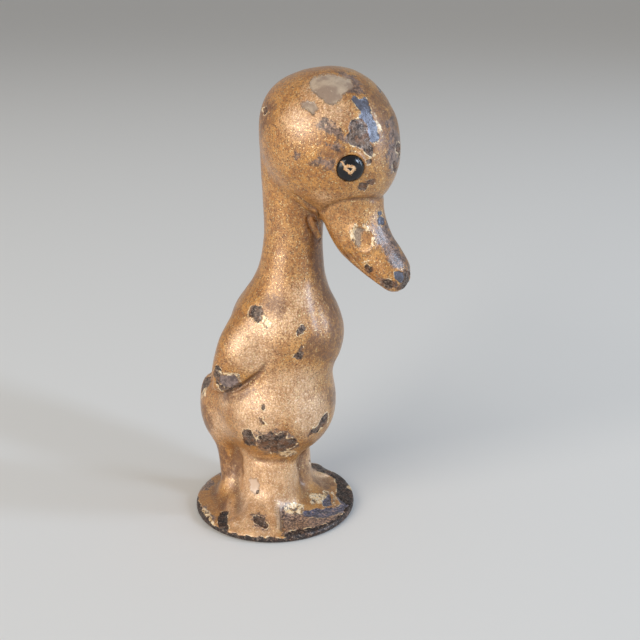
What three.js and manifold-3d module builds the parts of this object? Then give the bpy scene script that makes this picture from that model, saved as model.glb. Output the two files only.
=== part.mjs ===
// A cast iron duckling paperweight: two hollow half castings that meet on the
// duckling's own plane of symmetry, two pegs that line them up, one slotted
// screw that draws them together from the left flank, and two domed eye studs.
// Millimetres. +X is forward, towards the bill, +Y is the duckling's left, +Z is up.
import * as THREE from "three";
import { mergeVertices } from "three/addons/utils/BufferGeometryUtils.js";
import Module from "manifold-3d";

const wasm = await Module();
wasm.setup();

// Driving dimensions. The forms are stacked: belly on base, chest on belly, neck
// on chest, head on neck, and each place is measured from the form before it.
const wall = 3.0;
const clearance = 0.3;
const overrun = 4.0;
const skin_step = 2.6;
const core_step = 4.6;

const base = { radius: 22.3, thickness: 2.4, edge_radius: 1.0, mound_inset: 2.7, mound_height: 4.0 };
const belly = { forward: 1.2, rise: 29.8, half_length: 16.0, half_width: 16.0, half_height: 15.8 };
const chest = { forward: 3.0, rise: 20.4, half_length: 15.4, half_width: 14.0, half_height: 14.0 };
const neck = { forward: 2.3, rise: 25.6, radius: 7.5, root_radius: 10.6, top_radius: 8.6, top_back: 9.6 };
const head = { forward: 9.9, rise: 25.6, half_length: 16.9, half_width: 16.0, half_height: 16.9 };
const face = { forward: 3.8, drop: 4.2, radius: 13.6 };
const crown = { back: 7.0, rise: 4.4, radius: 10.2 };
const bill = {
  forward: 5.0,
  drop: 13.4,
  reach: 12.1,
  fall: 18.2,
  bow: 2.2,
  root_half_width: 7.8,
  root_half_depth: 8.4,
  waist_half_width: 6.8,
  waist_half_depth: 7.1,
  tip_half_width: 5.6,
  tip_half_depth: 4.6,
};
const rump = { back: 13.4, drop: 4.6, half_length: 9.8, half_width: 9.6, half_height: 12.4 };
const tail = { back: 20.6, rise: 0.2, half_width: 4.2, half_depth: 2.4 };
const prop = {
  back: 11.0,
  middle_back: 12.4,
  root_half_length: 8.0,
  half_length: 4.2,
  half_width: 6.6,
  foot_flare: 1.0,
};
const leg = { forward: 0.3, spread: 3.8, half_length: 7.8, half_width: 5.6, foot_flare: 1.2 };
const foot = {
  splay_deg: 78,
  toe_inset: 2.6,
  heel_half_width: 5.0,
  heel_thickness: 5.6,
  web_half_width: 6.6,
  web_thickness: 2.0,
};
const toe = { radius: 1.3, rise: 0.4, spread_deg: 21 };
const wing = {
  shoulder_back: 3.2,
  shoulder_rise: 4.8,
  shoulder_out: 6.4,
  tip_back: 12.0,
  tip_drop: 11.8,
  tip_out: 11.0,
  turn_deg: 24,
  shoulder_half_width: 7.8,
  middle_half_width: 7.0,
  tip_half_width: 3.6,
  half_thickness: 6.4,
  tip_half_thickness: 5.4,
};
const fillet = {
  trunk: 10.5,
  neck: 9.0,
  throat: 1.4,
  head: 4.0,
  bill: 2.6,
  rump: 6.0,
  tail: 2.4,
  wing: 1.8,
  leg: 2.6,
  web: 2.0,
  ground: 7.0,
};
const eye = {
  ahead_deg: 48,
  dip_deg: 17,
  radius: 3.2,
  rim: 1.0,
  inset: 0.4,
  dome: 1.6,
  shank_radius: 1.1,
  shank_spare: 0.6,
};
const screw = {
  above_belly: 0.6,
  shank_radius: 2.0,
  head_radius: 3.6,
  head_height: 2.1,
  inset: 0.4,
  slot_width: 0.9,
  slot_depth: 1.1,
  bite: 7.0,
};
const boss = { radius: 4.6 };
const peg = { radius: 1.5, length: 3.6 };

// Shares, chosen by hand, that place a form along another one.
const web_reach_share = 0.72;
const toe_root_share = 0.4;
const wing_middle_share = 0.5;
const bill_peg_share = 0.45;
const leg_peg_share = 0.5;

// Shares of the size that they are taken of.
const slope_reach_share = 0.02;
const taken_in_share = 0.01;
const way_out_share = 0.001;

// Counts.
const round_steps = 32;
const toe_steps = 10;
const toe_cap_steps = 3;
const plinth_steps = 72;
const arc_steps = 5;
const limb_steps = 4;
const pull_rounds = 3;
const cell_corner_count = 8;

const half_turn = Math.PI;
const degrees = half_turn / 180;
const forward = new THREE.Vector3(1, 0, 0);
const left = new THREE.Vector3(0, 1, 0);
const up = new THREE.Vector3(0, 0, 1);

function point(x, y, z) {
  return new THREE.Vector3(x, y, z);
}

function from(start, x, y, z) {
  return start.clone().add(point(x, y, z));
}

// Places that follow from the sizes above.
const belly_at = point(belly.forward, 0, base.thickness + belly.rise);
const chest_at = from(belly_at, chest.forward, 0, chest.rise);
const neck_at = from(chest_at, neck.forward, 0, neck.rise);
const head_at = from(neck_at, head.forward, 0, head.rise);
const rump_at = from(belly_at, -rump.back, 0, -rump.drop);
const bill_root = from(head_at, bill.forward, 0, -bill.drop);
const bill_tip = from(bill_root, bill.reach, 0, -bill.fall);
const ankle = point(leg.forward, leg.spread, base.thickness);
const foot_length = base.radius - foot.toe_inset - leg.spread;
const mound_radius = base.radius - base.mound_inset;

// A form gives a point's distance outside its surface, negative inside, and
// carries a box that it fits in. Its coordinates come one by one, for speed.
function form_of(distance, box) {
  distance.box = box;
  return distance;
}

// The distance outside an ellipse or ellipsoid, from how many radii the point
// lies out from the centre and how steeply that grows.
function outside(radii, steepness, least) {
  return steepness === 0 ? -least : (radii * (radii - 1)) / steepness;
}

function ellipsoid(at, half_length, half_width, half_height) {
  const half = point(half_length, half_width, half_height);
  const distance = (x, y, z) => {
    const u = (x - at.x) / half.x;
    const v = (y - at.y) / half.y;
    const w = (z - at.z) / half.z;
    const radii = Math.sqrt(u * u + v * v + w * w);
    const steepness = Math.sqrt((u / half.x) ** 2 + (v / half.y) ** 2 + (w / half.z) ** 2);
    return outside(radii, steepness, Math.min(half.x, half.y, half.z));
  };
  return form_of(distance, new THREE.Box3(at.clone().sub(half), at.clone().add(half)));
}

function ball(at, radius) {
  return ellipsoid(at, radius, radius, radius);
}

// A limb follows a smooth curve through its stations. Its section is an ellipse
// with the half width wide, and the half width thin along the direction flat.
function limb(stations, flat) {
  const curve = new THREE.CatmullRomCurve3(stations.map((station) => station.at), false, "centripetal");
  const steps = (stations.length - 1) * limb_steps;
  const rings = [];
  const box = new THREE.Box3();
  for (let i = 0; i <= steps; i++) {
    const along = i / limb_steps;
    const first = Math.min(Math.floor(along), stations.length - 2);
    const here = stations[first];
    const next = stations[first + 1];
    const ring = {
      at: curve.getPoint(i / steps),
      wide: THREE.MathUtils.lerp(here.wide, next.wide, along - first),
      thin: THREE.MathUtils.lerp(here.thin, next.thin, along - first),
    };
    rings.push(ring);
    const most = Math.max(ring.wide, ring.thin);
    box.union(new THREE.Box3(from(ring.at, -most, -most, -most), from(ring.at, most, most, most)));
  }
  const pieces = rings.slice(1).map((ring, i) => {
    const run = ring.at.clone().sub(rings[i].at);
    return { start: rings[i], end: ring, run, run_squared: run.lengthSq() };
  });
  const distance = (x, y, z) => {
    let nearest = Infinity;
    for (const { start, end, run, run_squared } of pieces) {
      const px = x - start.at.x;
      const py = y - start.at.y;
      const pz = z - start.at.z;
      const along = (px * run.x + py * run.y + pz * run.z) / run_squared;
      const t = Math.min(Math.max(along, 0), 1);
      const qx = px - t * run.x;
      const qy = py - t * run.y;
      const qz = pz - t * run.z;
      const through = qx * flat.x + qy * flat.y + qz * flat.z;
      const across = Math.sqrt(Math.max(qx * qx + qy * qy + qz * qz - through * through, 0));
      const wide = start.wide + t * (end.wide - start.wide);
      const thin = start.thin + t * (end.thin - start.thin);
      const u = across / wide;
      const v = through / thin;
      const steepness = Math.sqrt((u / wide) ** 2 + (v / thin) ** 2);
      nearest = Math.min(nearest, outside(Math.sqrt(u * u + v * v), steepness, Math.min(wide, thin)));
    }
    return nearest;
  };
  return form_of(distance, box);
}

// Two forms grown together, with a fillet of about the given radius.
function grown(a, b, radius) {
  const distance = (x, y, z) => {
    const p = a(x, y, z);
    const q = b(x, y, z);
    const near = Math.max(1 - Math.abs(p - q) / radius, 0);
    return Math.min(p, q) - (near ** 3 * radius) / 6;
  };
  return form_of(distance, a.box.clone().union(b.box).expandByScalar(radius / 6));
}

// A form made of its left side and that side's mirror image.
function mirrored(a) {
  const box = a.box.clone();
  box.max.y = Math.max(box.max.y, -box.min.y);
  box.min.y = -box.max.y;
  return form_of((x, y, z) => a(x, Math.abs(y), z), box);
}

function head_form() {
  const cranium = ellipsoid(head_at, head.half_length, head.half_width, head.half_height);
  const cheeks = ball(from(head_at, face.forward, 0, -face.drop), face.radius);
  const back_of_crown = ball(from(head_at, -crown.back, 0, crown.rise), crown.radius);
  return grown(grown(cranium, cheeks, fillet.head), back_of_crown, fillet.head);
}

function bill_form() {
  const along = bill_tip.clone().sub(bill_root).normalize();
  const top = along.clone().cross(left);
  const waist = bill_root.clone().lerp(bill_tip, 0.5).addScaledVector(top, -bill.bow);
  const stations = [
    { at: bill_root, wide: bill.root_half_width, thin: bill.root_half_depth },
    { at: waist, wide: bill.waist_half_width, thin: bill.waist_half_depth },
    { at: bill_tip, wide: bill.tip_half_width, thin: bill.tip_half_depth },
  ];
  return limb(stations, top);
}

function trunk_form() {
  const belly_ball = ellipsoid(belly_at, belly.half_length, belly.half_width, belly.half_height);
  const chest_ball = ellipsoid(chest_at, chest.half_length, chest.half_width, chest.half_height);
  return grown(belly_ball, chest_ball, fillet.trunk);
}

function neck_form() {
  const stations = [
    { at: chest_at, wide: neck.root_radius, thin: neck.root_radius },
    { at: neck_at, wide: neck.radius, thin: neck.radius },
    { at: from(head_at, -neck.top_back, 0, 0), wide: neck.top_radius, thin: neck.top_radius },
  ];
  return limb(stations, left);
}

function tail_form() {
  const rump_ball = ellipsoid(rump_at, rump.half_length, rump.half_width, rump.half_height);
  const stations = [
    { at: from(belly_at, -rump.back, 0, 0), wide: tail.half_width, thin: tail.half_depth },
    { at: from(belly_at, -tail.back, 0, tail.rise), wide: tail.half_width, thin: tail.half_depth },
  ];
  return grown(rump_ball, limb(stations, forward), fillet.tail);
}

// The rump runs down to the base as a broad, flat prop behind the legs.
function prop_form() {
  const middle = point(-prop.middle_back, 0, rump_at.z / 2);
  const bottom = point(-prop.back, 0, base.thickness);
  const stations = [
    { at: rump_at, wide: prop.half_width, thin: prop.root_half_length },
    { at: middle, wide: prop.half_width, thin: prop.half_length },
    { at: bottom, wide: prop.half_width + prop.foot_flare, thin: prop.half_length },
  ];
  return limb(stations, forward);
}

function leg_form() {
  const stations = [
    { at: from(ankle, 0, 0, belly_at.z - ankle.z), wide: leg.half_length, thin: leg.half_width },
    { at: ankle, wide: leg.half_length + leg.foot_flare, thin: leg.half_width + leg.foot_flare },
  ];
  return limb(stations, left);
}

// Where a foot reaches to in a direction, seen from above. The left foot's
// directions turn from +X towards +Y.
function foot_reach(side, angle) {
  const reach = from(ankle, foot_length * Math.cos(angle), foot_length * Math.sin(angle), 0);
  return reach.multiply(point(1, side, 1));
}

function web_form() {
  const end = ankle.clone().lerp(foot_reach(1, foot.splay_deg * degrees), web_reach_share);
  const stations = [
    { at: ankle, wide: foot.heel_half_width, thin: foot.heel_thickness },
    { at: end, wide: foot.web_half_width, thin: foot.web_thickness },
  ];
  return limb(stations, up);
}

function wing_form() {
  const shoulder = from(chest_at, -wing.shoulder_back, wing.shoulder_out, wing.shoulder_rise);
  const tip = from(chest_at, -wing.tip_back, wing.tip_out, -wing.tip_drop);
  const middle = shoulder.clone().lerp(tip, wing_middle_share);
  middle.y = tip.y;
  const turn = wing.turn_deg * degrees;
  const outward = point(-Math.sin(turn), Math.cos(turn), 0);
  const stations = [
    { at: shoulder, wide: wing.shoulder_half_width, thin: wing.half_thickness },
    { at: middle, wide: wing.middle_half_width, thin: wing.half_thickness },
    { at: tip, wide: wing.tip_half_width, thin: wing.tip_half_thickness },
  ];
  return limb(stations, outward);
}

// The hollow's core follows the trunk, neck and head, a wall's thickness inside.
function core_form() {
  const upper = grown(grown(trunk_form(), neck_form(), fillet.neck), head_form(), fillet.throat);
  return form_of((x, y, z) => upper(x, y, z) + wall, upper.box);
}

function mound_form() {
  return ellipsoid(point(0, 0, 0), mound_radius, mound_radius, base.mound_height);
}

function duckling_form() {
  let whole = grown(trunk_form(), neck_form(), fillet.neck);
  whole = grown(whole, grown(head_form(), bill_form(), fillet.bill), fillet.throat);
  whole = grown(whole, tail_form(), fillet.rump);
  whole = grown(whole, wing_form(), fillet.wing);
  whole = grown(whole, leg_form(), fillet.leg);
  whole = grown(whole, prop_form(), fillet.leg);
  const ground = grown(mound_form(), web_form(), fillet.web);
  return mirrored(grown(whole, ground, fillet.ground));
}

// Where a line that starts inside a form comes out of it.
function way_out(form, start, direction) {
  let inside = 0;
  let beyond = form.box.getSize(new THREE.Vector3()).length();
  while (beyond - inside > clearance * way_out_share) {
    const half_way = (inside + beyond) / 2;
    const at = start.clone().addScaledVector(direction, half_way);
    if (form(at.x, at.y, at.z) < 0) {
      inside = half_way;
    } else {
      beyond = half_way;
    }
  }
  return start.clone().addScaledVector(direction, inside);
}

function slope_at(form, x, y, z, reach) {
  return point(
    (form(x + reach, y, z) - form(x - reach, y, z)) / (2 * reach),
    (form(x, y + reach, z) - form(x, y - reach, z)) / (2 * reach),
    (form(x, y, z + reach) - form(x, y, z - reach)) / (2 * reach),
  );
}

// A grid cell's corners, from 0 to 7, have a bit for each way that they lie along.
const cell_corners = Array.from({ length: cell_corner_count }, (_, corner) => corner);
const corner_places = cell_corners.map((corner) => [corner & 1, (corner >> 1) & 1, corner >> 2]);
const cell_edges = cell_corners.flatMap((a) => {
  const free_bits = [1, 2, 4].filter((bit) => !(a & bit));
  return free_bits.map((bit) => [a, a | bit]);
});

// Two corners that lie across a diagonal, with the corners between them.
const cell_diagonals = cell_corners.flatMap((a) => {
  const others = cell_corners.filter((b) => b > a);
  const pairs = others.map((b) => {
    const between = cell_corners.filter((c) => c !== a && c !== b && ((c ^ a) & ~(a ^ b)) === 0);
    return { ends: [a, b], between };
  });
  return pairs.filter((pair) => pair.between.length > 0);
});

// Where two grid points meet others of their kind only across a diagonal, a mesh
// would touch itself, so the outer point nearest to the surface is taken inside.
function take_in_diagonals(values, cells, least) {
  let taken = new Set([0]);
  while (taken.size > 0) {
    taken = new Set();
    for (const cell of cells) {
      for (const { ends, between } of cell_diagonals) {
        const inside = values[cell[ends[0]]] < 0;
        const alike = values[cell[ends[1]]] < 0 === inside;
        if (alike && between.every((corner) => values[cell[corner]] < 0 !== inside)) {
          const outer = (inside ? between : ends).map((corner) => cell[corner]);
          taken.add(outer.reduce((a, b) => (values[a] < values[b] ? a : b)));
        }
      }
    }
    for (const number of taken) {
      values[number] = -least;
    }
  }
}

// A closed mesh over a form by surface nets: one vertex in each grid cell that
// the surface crosses, pulled onto the surface, and two triangles across each
// grid edge that the surface crosses. The grid lies evenly about the plane y = 0.
function skin_of(form, step) {
  const low = form.box.min.clone().divideScalar(step).floor().subScalar(1);
  const high = form.box.max.clone().divideScalar(step).ceil().addScalar(1);
  const [nx, ny, nz] = high.clone().sub(low).addScalar(1).toArray();
  const number_of = (i, j, k) => i + nx * (j + ny * k);
  const values = new Float64Array(nx * ny * nz);
  for (let k = 0; k < nz; k++) {
    for (let j = 0; j < ny; j++) {
      for (let i = 0; i < nx; i++) {
        values[number_of(i, j, k)] = form((low.x + i) * step, (low.y + j) * step, (low.z + k) * step);
      }
    }
  }
  const cells = [];
  const starts = [];
  for (let k = 0; k < nz - 1; k++) {
    for (let j = 0; j < ny - 1; j++) {
      for (let i = 0; i < nx - 1; i++) {
        cells.push(corner_places.map(([a, b, c]) => number_of(i + a, j + b, k + c)));
        starts.push(point(i, j, k).add(low));
      }
    }
  }
  take_in_diagonals(values, cells, step * taken_in_share);
  const vertex_of = new Int32Array(values.length).fill(-1);
  const vertices = [];
  cells.forEach((cell, number) => {
    const value = cell.map((corner) => values[corner]);
    const crossed = cell_edges.filter(([a, b]) => value[a] < 0 !== value[b] < 0);
    if (crossed.length === 0) {
      return;
    }
    const middle = new THREE.Vector3();
    for (const [a, b] of crossed) {
      const there = point(...corner_places[b]);
      const crossing = point(...corner_places[a]).lerp(there, value[a] / (value[a] - value[b]));
      middle.addScaledVector(crossing, 1 / crossed.length);
    }
    vertex_of[cell[0]] = vertices.length;
    vertices.push(middle.add(starts[number]).multiplyScalar(step));
  });
  for (const vertex of vertices) {
    for (let round = 0; round < pull_rounds; round++) {
      const slope = slope_at(form, vertex.x, vertex.y, vertex.z, step * slope_reach_share);
      const pull = form(vertex.x, vertex.y, vertex.z) / slope.length();
      vertex.addScaledVector(slope.normalize(), -THREE.MathUtils.clamp(pull, -step / 2, step / 2));
    }
  }
  const faces = [];
  const span = (a, b) => vertices[a].distanceToSquared(vertices[b]);
  const add_face = (cells, turned) => {
    const [a, b, c, d] = (turned ? cells.reverse() : cells).map(([i, j, k]) => vertex_of[number_of(i, j, k)]);
    const triangles = span(a, c) < span(b, d) ? [a, b, c, a, c, d] : [a, b, d, b, c, d];
    faces.push(...triangles);
  };
  for (let k = 1; k < nz - 1; k++) {
    for (let j = 1; j < ny - 1; j++) {
      for (let i = 1; i < nx - 1; i++) {
        const inside = values[number_of(i, j, k)] < 0;
        if (values[number_of(i + 1, j, k)] < 0 !== inside) {
          add_face([[i, j - 1, k - 1], [i, j, k - 1], [i, j, k], [i, j - 1, k]], !inside);
        }
        if (values[number_of(i, j + 1, k)] < 0 !== inside) {
          add_face([[i - 1, j, k - 1], [i - 1, j, k], [i, j, k], [i, j, k - 1]], !inside);
        }
        if (values[number_of(i, j, k + 1)] < 0 !== inside) {
          add_face([[i - 1, j - 1, k], [i, j - 1, k], [i, j, k], [i - 1, j, k]], !inside);
        }
      }
    }
  }
  const geometry = new THREE.BufferGeometry().setFromPoints(vertices);
  geometry.setIndex(faces);
  return geometry;
}

// A closed geometry as a solid that can be joined and cut.
function solid(geometry) {
  const bare = geometry.clone();
  bare.deleteAttribute("normal");
  bare.deleteAttribute("uv");
  const merged = mergeVertices(bare);
  const index = merged.index.array;
  const triangles = [];
  for (let i = 0; i < index.length; i += 3) {
    const [a, b, c] = index.slice(i, i + 3);
    if (a !== b && b !== c && c !== a) {
      triangles.push(a, b, c);
    }
  }
  const mesh = new wasm.Mesh({
    numProp: 3,
    vertProperties: Float32Array.from(merged.getAttribute("position").array),
    triVerts: Uint32Array.from(triangles),
  });
  return new wasm.Manifold(mesh);
}

function geometry_of(body) {
  const mesh = body.getMesh();
  const geometry = new THREE.BufferGeometry();
  geometry.setAttribute("position", new THREE.BufferAttribute(Float32Array.from(mesh.vertProperties), 3));
  geometry.setIndex(new THREE.BufferAttribute(Uint32Array.from(mesh.triVerts), 1));
  return geometry;
}

// A round bar along +Y between two places, on the axis through x and z.
function bar(radius, y_start, y_end, x, z) {
  const geometry = new THREE.CylinderGeometry(radius, radius, y_end - y_start, round_steps);
  geometry.translate(x, (y_start + y_end) / 2, z);
  return solid(geometry);
}

// A solid of revolution about +Y, from a profile of radius and height.
function turned(profile, steps) {
  const points = profile.map(([radius, height]) => new THREE.Vector2(radius, height));
  return new THREE.LatheGeometry(points, steps);
}

// Part of a circle in a profile, from one angle to another.
function arc(centre_radius, centre_height, radius, start_angle, end_angle) {
  const points = [];
  for (let i = 0; i <= arc_steps; i++) {
    const angle = THREE.MathUtils.lerp(start_angle, end_angle, i / arc_steps);
    points.push([centre_radius + radius * Math.cos(angle), centre_height + radius * Math.sin(angle)]);
  }
  return points;
}

// A domed top in a profile, from its edge to the axis.
function dome(edge_radius, edge_height, rise) {
  const radius = (edge_radius * edge_radius + rise * rise) / (2 * rise);
  const centre_height = edge_height + rise - radius;
  const start_angle = Math.atan2(edge_height - centre_height, edge_radius);
  const points = arc(0, centre_height, radius, start_angle, 90 * degrees);
  points[arc_steps] = [0, edge_height + rise];
  return points;
}

// The plinth is turned by half a step, so that its corners miss the parting plane.
function plinth() {
  const edge = base.edge_radius;
  const profile = [
    [0, 0],
    ...arc(base.radius - edge, edge, edge, -90 * degrees, 0),
    ...arc(base.radius - edge, base.thickness - edge, edge, 0, 90 * degrees),
    [0, base.thickness],
  ];
  const geometry = turned(profile, plinth_steps);
  geometry.rotateY(half_turn / plinth_steps);
  geometry.rotateX(90 * degrees);
  return solid(geometry);
}

// A block that fills the space between two corners.
function block(low, high) {
  const size = high.clone().sub(low);
  const geometry = new THREE.BoxGeometry(size.x, size.y, size.z);
  const middle = low.clone().add(high).divideScalar(2);
  geometry.translate(middle.x, middle.y, middle.z);
  return solid(geometry);
}

const outer_form = duckling_form();
const footprint = new THREE.Box3(point(-base.radius, -base.radius, 0), point(base.radius, base.radius, 0));
const limits = outer_form.box.clone().union(footprint).expandByScalar(overrun);

// The screw runs along Y through the belly, from a seat sunk in the left flank.
const screw_at = from(belly_at, 0, 0, screw.above_belly);
const seat = way_out(outer_form, screw_at, left).y - screw.head_height - screw.inset;

// The eye studs stand square to the face, where a line out of the head's centre
// comes through it. Each stud's own axis is +Y, and its rim lies at height 0.
function eye_place(side) {
  const ahead = eye.ahead_deg * degrees;
  const dip = eye.dip_deg * degrees;
  const level = Math.cos(dip);
  const direction = point(Math.cos(ahead) * level, side * Math.sin(ahead) * level, -Math.sin(dip));
  const at = way_out(outer_form, head_at, direction);
  const outward = slope_at(outer_form, at.x, at.y, at.z, clearance).normalize();
  const turn = new THREE.Quaternion().setFromUnitVectors(left, outward);
  return new THREE.Matrix4().compose(at.addScaledVector(outward, -eye.inset), turn, point(1, 1, 1));
}

function eye_stud() {
  const shank_end = -wall - eye.shank_spare;
  const profile = [
    [0, shank_end],
    [eye.shank_radius, shank_end],
    [eye.shank_radius, -eye.rim],
    [eye.radius, -eye.rim],
    ...dome(eye.radius, 0, eye.dome),
  ];
  return turned(profile, round_steps);
}

// Three round toes stand out of each foot's web and fan out to the rim.
function toes(side) {
  const ankle_here = ankle.clone().multiply(point(1, side, 1));
  const found = [];
  for (const spread of [-1, 0, 1]) {
    const end = foot_reach(side, (foot.splay_deg + spread * toe.spread_deg) * degrees);
    const start = ankle_here.clone().lerp(end, toe_root_share);
    const along = end.clone().sub(start);
    const geometry = new THREE.CapsuleGeometry(toe.radius, along.length(), toe_cap_steps, toe_steps);
    const middle = start.add(end).divideScalar(2).setZ(ankle.z + toe.rise);
    const turn = new THREE.Quaternion().setFromUnitVectors(left, along.normalize());
    geometry.applyQuaternion(turn).translate(middle.x, middle.y, middle.z);
    found.push(solid(geometry));
  }
  return found;
}

function eye_socket(side) {
  const hole = eye.shank_radius + clearance;
  const recess = eye.radius + clearance;
  const profile = [
    [0, -wall - overrun],
    [hole, -wall - overrun],
    [hole, -eye.rim - clearance],
    [recess, -eye.rim - clearance],
    [recess, overrun],
    [0, overrun],
  ];
  return solid(turned(profile, round_steps).applyMatrix4(eye_place(side)));
}

function assembly_screw() {
  const profile = [
    [0, -screw.bite],
    [screw.shank_radius, -screw.bite],
    [screw.shank_radius, seat],
    ...dome(screw.head_radius, seat, screw.head_height),
  ];
  const slot_floor = seat + screw.head_height - screw.slot_depth;
  const slot = new THREE.BoxGeometry(2 * screw.head_radius + overrun, overrun, screw.slot_width);
  slot.translate(screw_at.x, slot_floor + overrun / 2, screw_at.z);
  const blank = turned(profile, round_steps).translate(screw_at.x, 0, screw_at.z);
  return solid(blank).subtract(solid(slot));
}

// The whole casting, before it is parted: hollow but for the screw's boss, and
// bored for the screw and the eyes.
function casting() {
  const upper = block(point(limits.min.x, limits.min.y, base.thickness / 2), limits.max);
  let outer = solid(skin_of(outer_form, skin_step)).intersect(upper).add(plinth());
  for (const one of [...toes(-1), ...toes(1)]) {
    outer = outer.add(one);
  }
  const out = limits.max.y;
  const column = bar(boss.radius, -out, out, screw_at.x, screw_at.z);
  const hollow = solid(skin_of(core_form(), core_step)).subtract(column);
  const bore_end = -screw.bite - clearance;
  const bore = bar(screw.shank_radius + clearance, bore_end, out, screw_at.x, screw_at.z);
  const counterbore = bar(screw.head_radius + clearance, seat, out, screw_at.x, screw_at.z);
  let whole = outer.subtract(hollow).subtract(bore).subtract(counterbore);
  for (const side of [-1, 1]) {
    whole = whole.subtract(eye_socket(side));
  }
  return whole;
}

// The pegs stand in the thick parts of the casting, in the bill and between the legs.
const belly_bottom = from(belly_at, 0, 0, -belly.half_height);
const bill_peg_at = bill_root.clone().lerp(bill_tip, bill_peg_share);
const leg_peg_at = point(leg.forward, 0, THREE.MathUtils.lerp(ankle.z, belly_bottom.z, leg_peg_share));

const whole = casting();
let right_half = whole.intersect(block(limits.min, point(limits.max.x, 0, limits.max.z)));
let left_half = whole.intersect(block(point(limits.min.x, 0, limits.min.z), limits.max));
for (const place of [bill_peg_at, leg_peg_at]) {
  right_half = right_half.add(bar(peg.radius, -peg.length, peg.length, place.x, place.z));
  const socket_end = peg.length + clearance;
  left_half = left_half.subtract(bar(peg.radius + clearance, -overrun, socket_end, place.x, place.z));
}

const bronze_paint = new THREE.MeshStandardMaterial({ color: 0xa9793f, roughness: 0.4, metalness: 0.6 });
const steel = new THREE.MeshStandardMaterial({ color: 0x6b6862, roughness: 0.5, metalness: 1.0 });
const black_enamel = new THREE.MeshStandardMaterial({ color: 0x0c0c0e, roughness: 0.12, metalness: 0.0 });

const duckling = new THREE.Group();

function add_piece(name, geometry, material, place) {
  const piece = new THREE.Mesh(geometry, material);
  piece.name = name;
  if (place) {
    piece.applyMatrix4(place);
  }
  duckling.add(piece);
}

add_piece("right_half", geometry_of(right_half), bronze_paint);
add_piece("left_half", geometry_of(left_half), bronze_paint.clone());
add_piece("assembly_screw", geometry_of(assembly_screw()), steel);
add_piece("right_eye", eye_stud(), black_enamel, eye_place(-1));
add_piece("left_eye", eye_stud(), black_enamel.clone(), eye_place(1));

// The origin is under the middle of the whole duckling, on the surface it stands on.
const bounds = new THREE.Box3().setFromObject(duckling);
const origin = bounds.getCenter(new THREE.Vector3());
duckling.position.set(-origin.x, -origin.y, -bounds.min.z);

export default duckling;
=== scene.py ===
"""A cast iron duckling paperweight in old bronze paint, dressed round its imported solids."""
import math

import bmesh
import bpy
import numpy as np
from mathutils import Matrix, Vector, noise
from mathutils.bvhtree import BVHTree
from mathutils.kdtree import KDTree


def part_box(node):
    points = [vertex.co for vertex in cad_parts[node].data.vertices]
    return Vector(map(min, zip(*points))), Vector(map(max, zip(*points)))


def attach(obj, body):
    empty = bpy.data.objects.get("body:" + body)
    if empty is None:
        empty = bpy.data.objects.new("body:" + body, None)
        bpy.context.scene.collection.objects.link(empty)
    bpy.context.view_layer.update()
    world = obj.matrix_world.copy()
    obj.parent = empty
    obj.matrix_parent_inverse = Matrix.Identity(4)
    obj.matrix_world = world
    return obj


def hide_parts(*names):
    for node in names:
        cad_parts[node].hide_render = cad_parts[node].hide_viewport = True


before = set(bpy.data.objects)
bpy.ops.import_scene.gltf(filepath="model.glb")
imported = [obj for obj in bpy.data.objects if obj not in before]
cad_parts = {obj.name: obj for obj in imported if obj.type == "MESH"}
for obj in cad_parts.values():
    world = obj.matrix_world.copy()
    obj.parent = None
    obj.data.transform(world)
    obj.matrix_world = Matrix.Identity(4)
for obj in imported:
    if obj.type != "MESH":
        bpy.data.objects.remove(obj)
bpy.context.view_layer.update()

mm = 0.001
rim_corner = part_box("right_half")[0]
base_radius = -rim_corner.y
base_middle = Vector((rim_corner.x + base_radius, 0, 0))

# The photograph's camera: a 54.4 mm lens on a square 36 mm sensor, 640 pixels wide.
photo_pixels = 640
sensor_width = 36.0
lens = 54.4
camera_place = base_middle + Vector((114.4, -215.4, 137.0)) * mm
camera_pitch = math.radians(18.7)
camera_azimuth = math.radians(25.0)

# The casting's skin
skin_voxel = 0.34 * mm
smooth_rounds = 8
foot_smooth_rounds = 40
uneven_height = 0.16 * mm
uneven_length = 11.0 * mm
core_voxel = 1.0 * mm
core_inset = 1.1 * mm
clearance = 0.3 * mm

# How far out from the middle the slot under the bill runs, in millimetres
slot_near = 14.0
slot_far = 3.5

# The paint's chips, in millimetres. A chip's edge sinks between these two distances from
# its outline, and no distance is followed further than the farthest.
chip_depth = 0.16
chip_edge = (-0.25, 0.1)
chip_ragged = 0.5
chip_ragged_length = 2.2
unseen_ragged = 0.75
unseen_ragged_length = 3.6
farthest = 4.0

# Hollows are found by smoothing the skin this many times, and then this many more
hollow_rounds = 24
wide_hollow_rounds = 130
wide_hollow_share = 0.3

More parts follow.
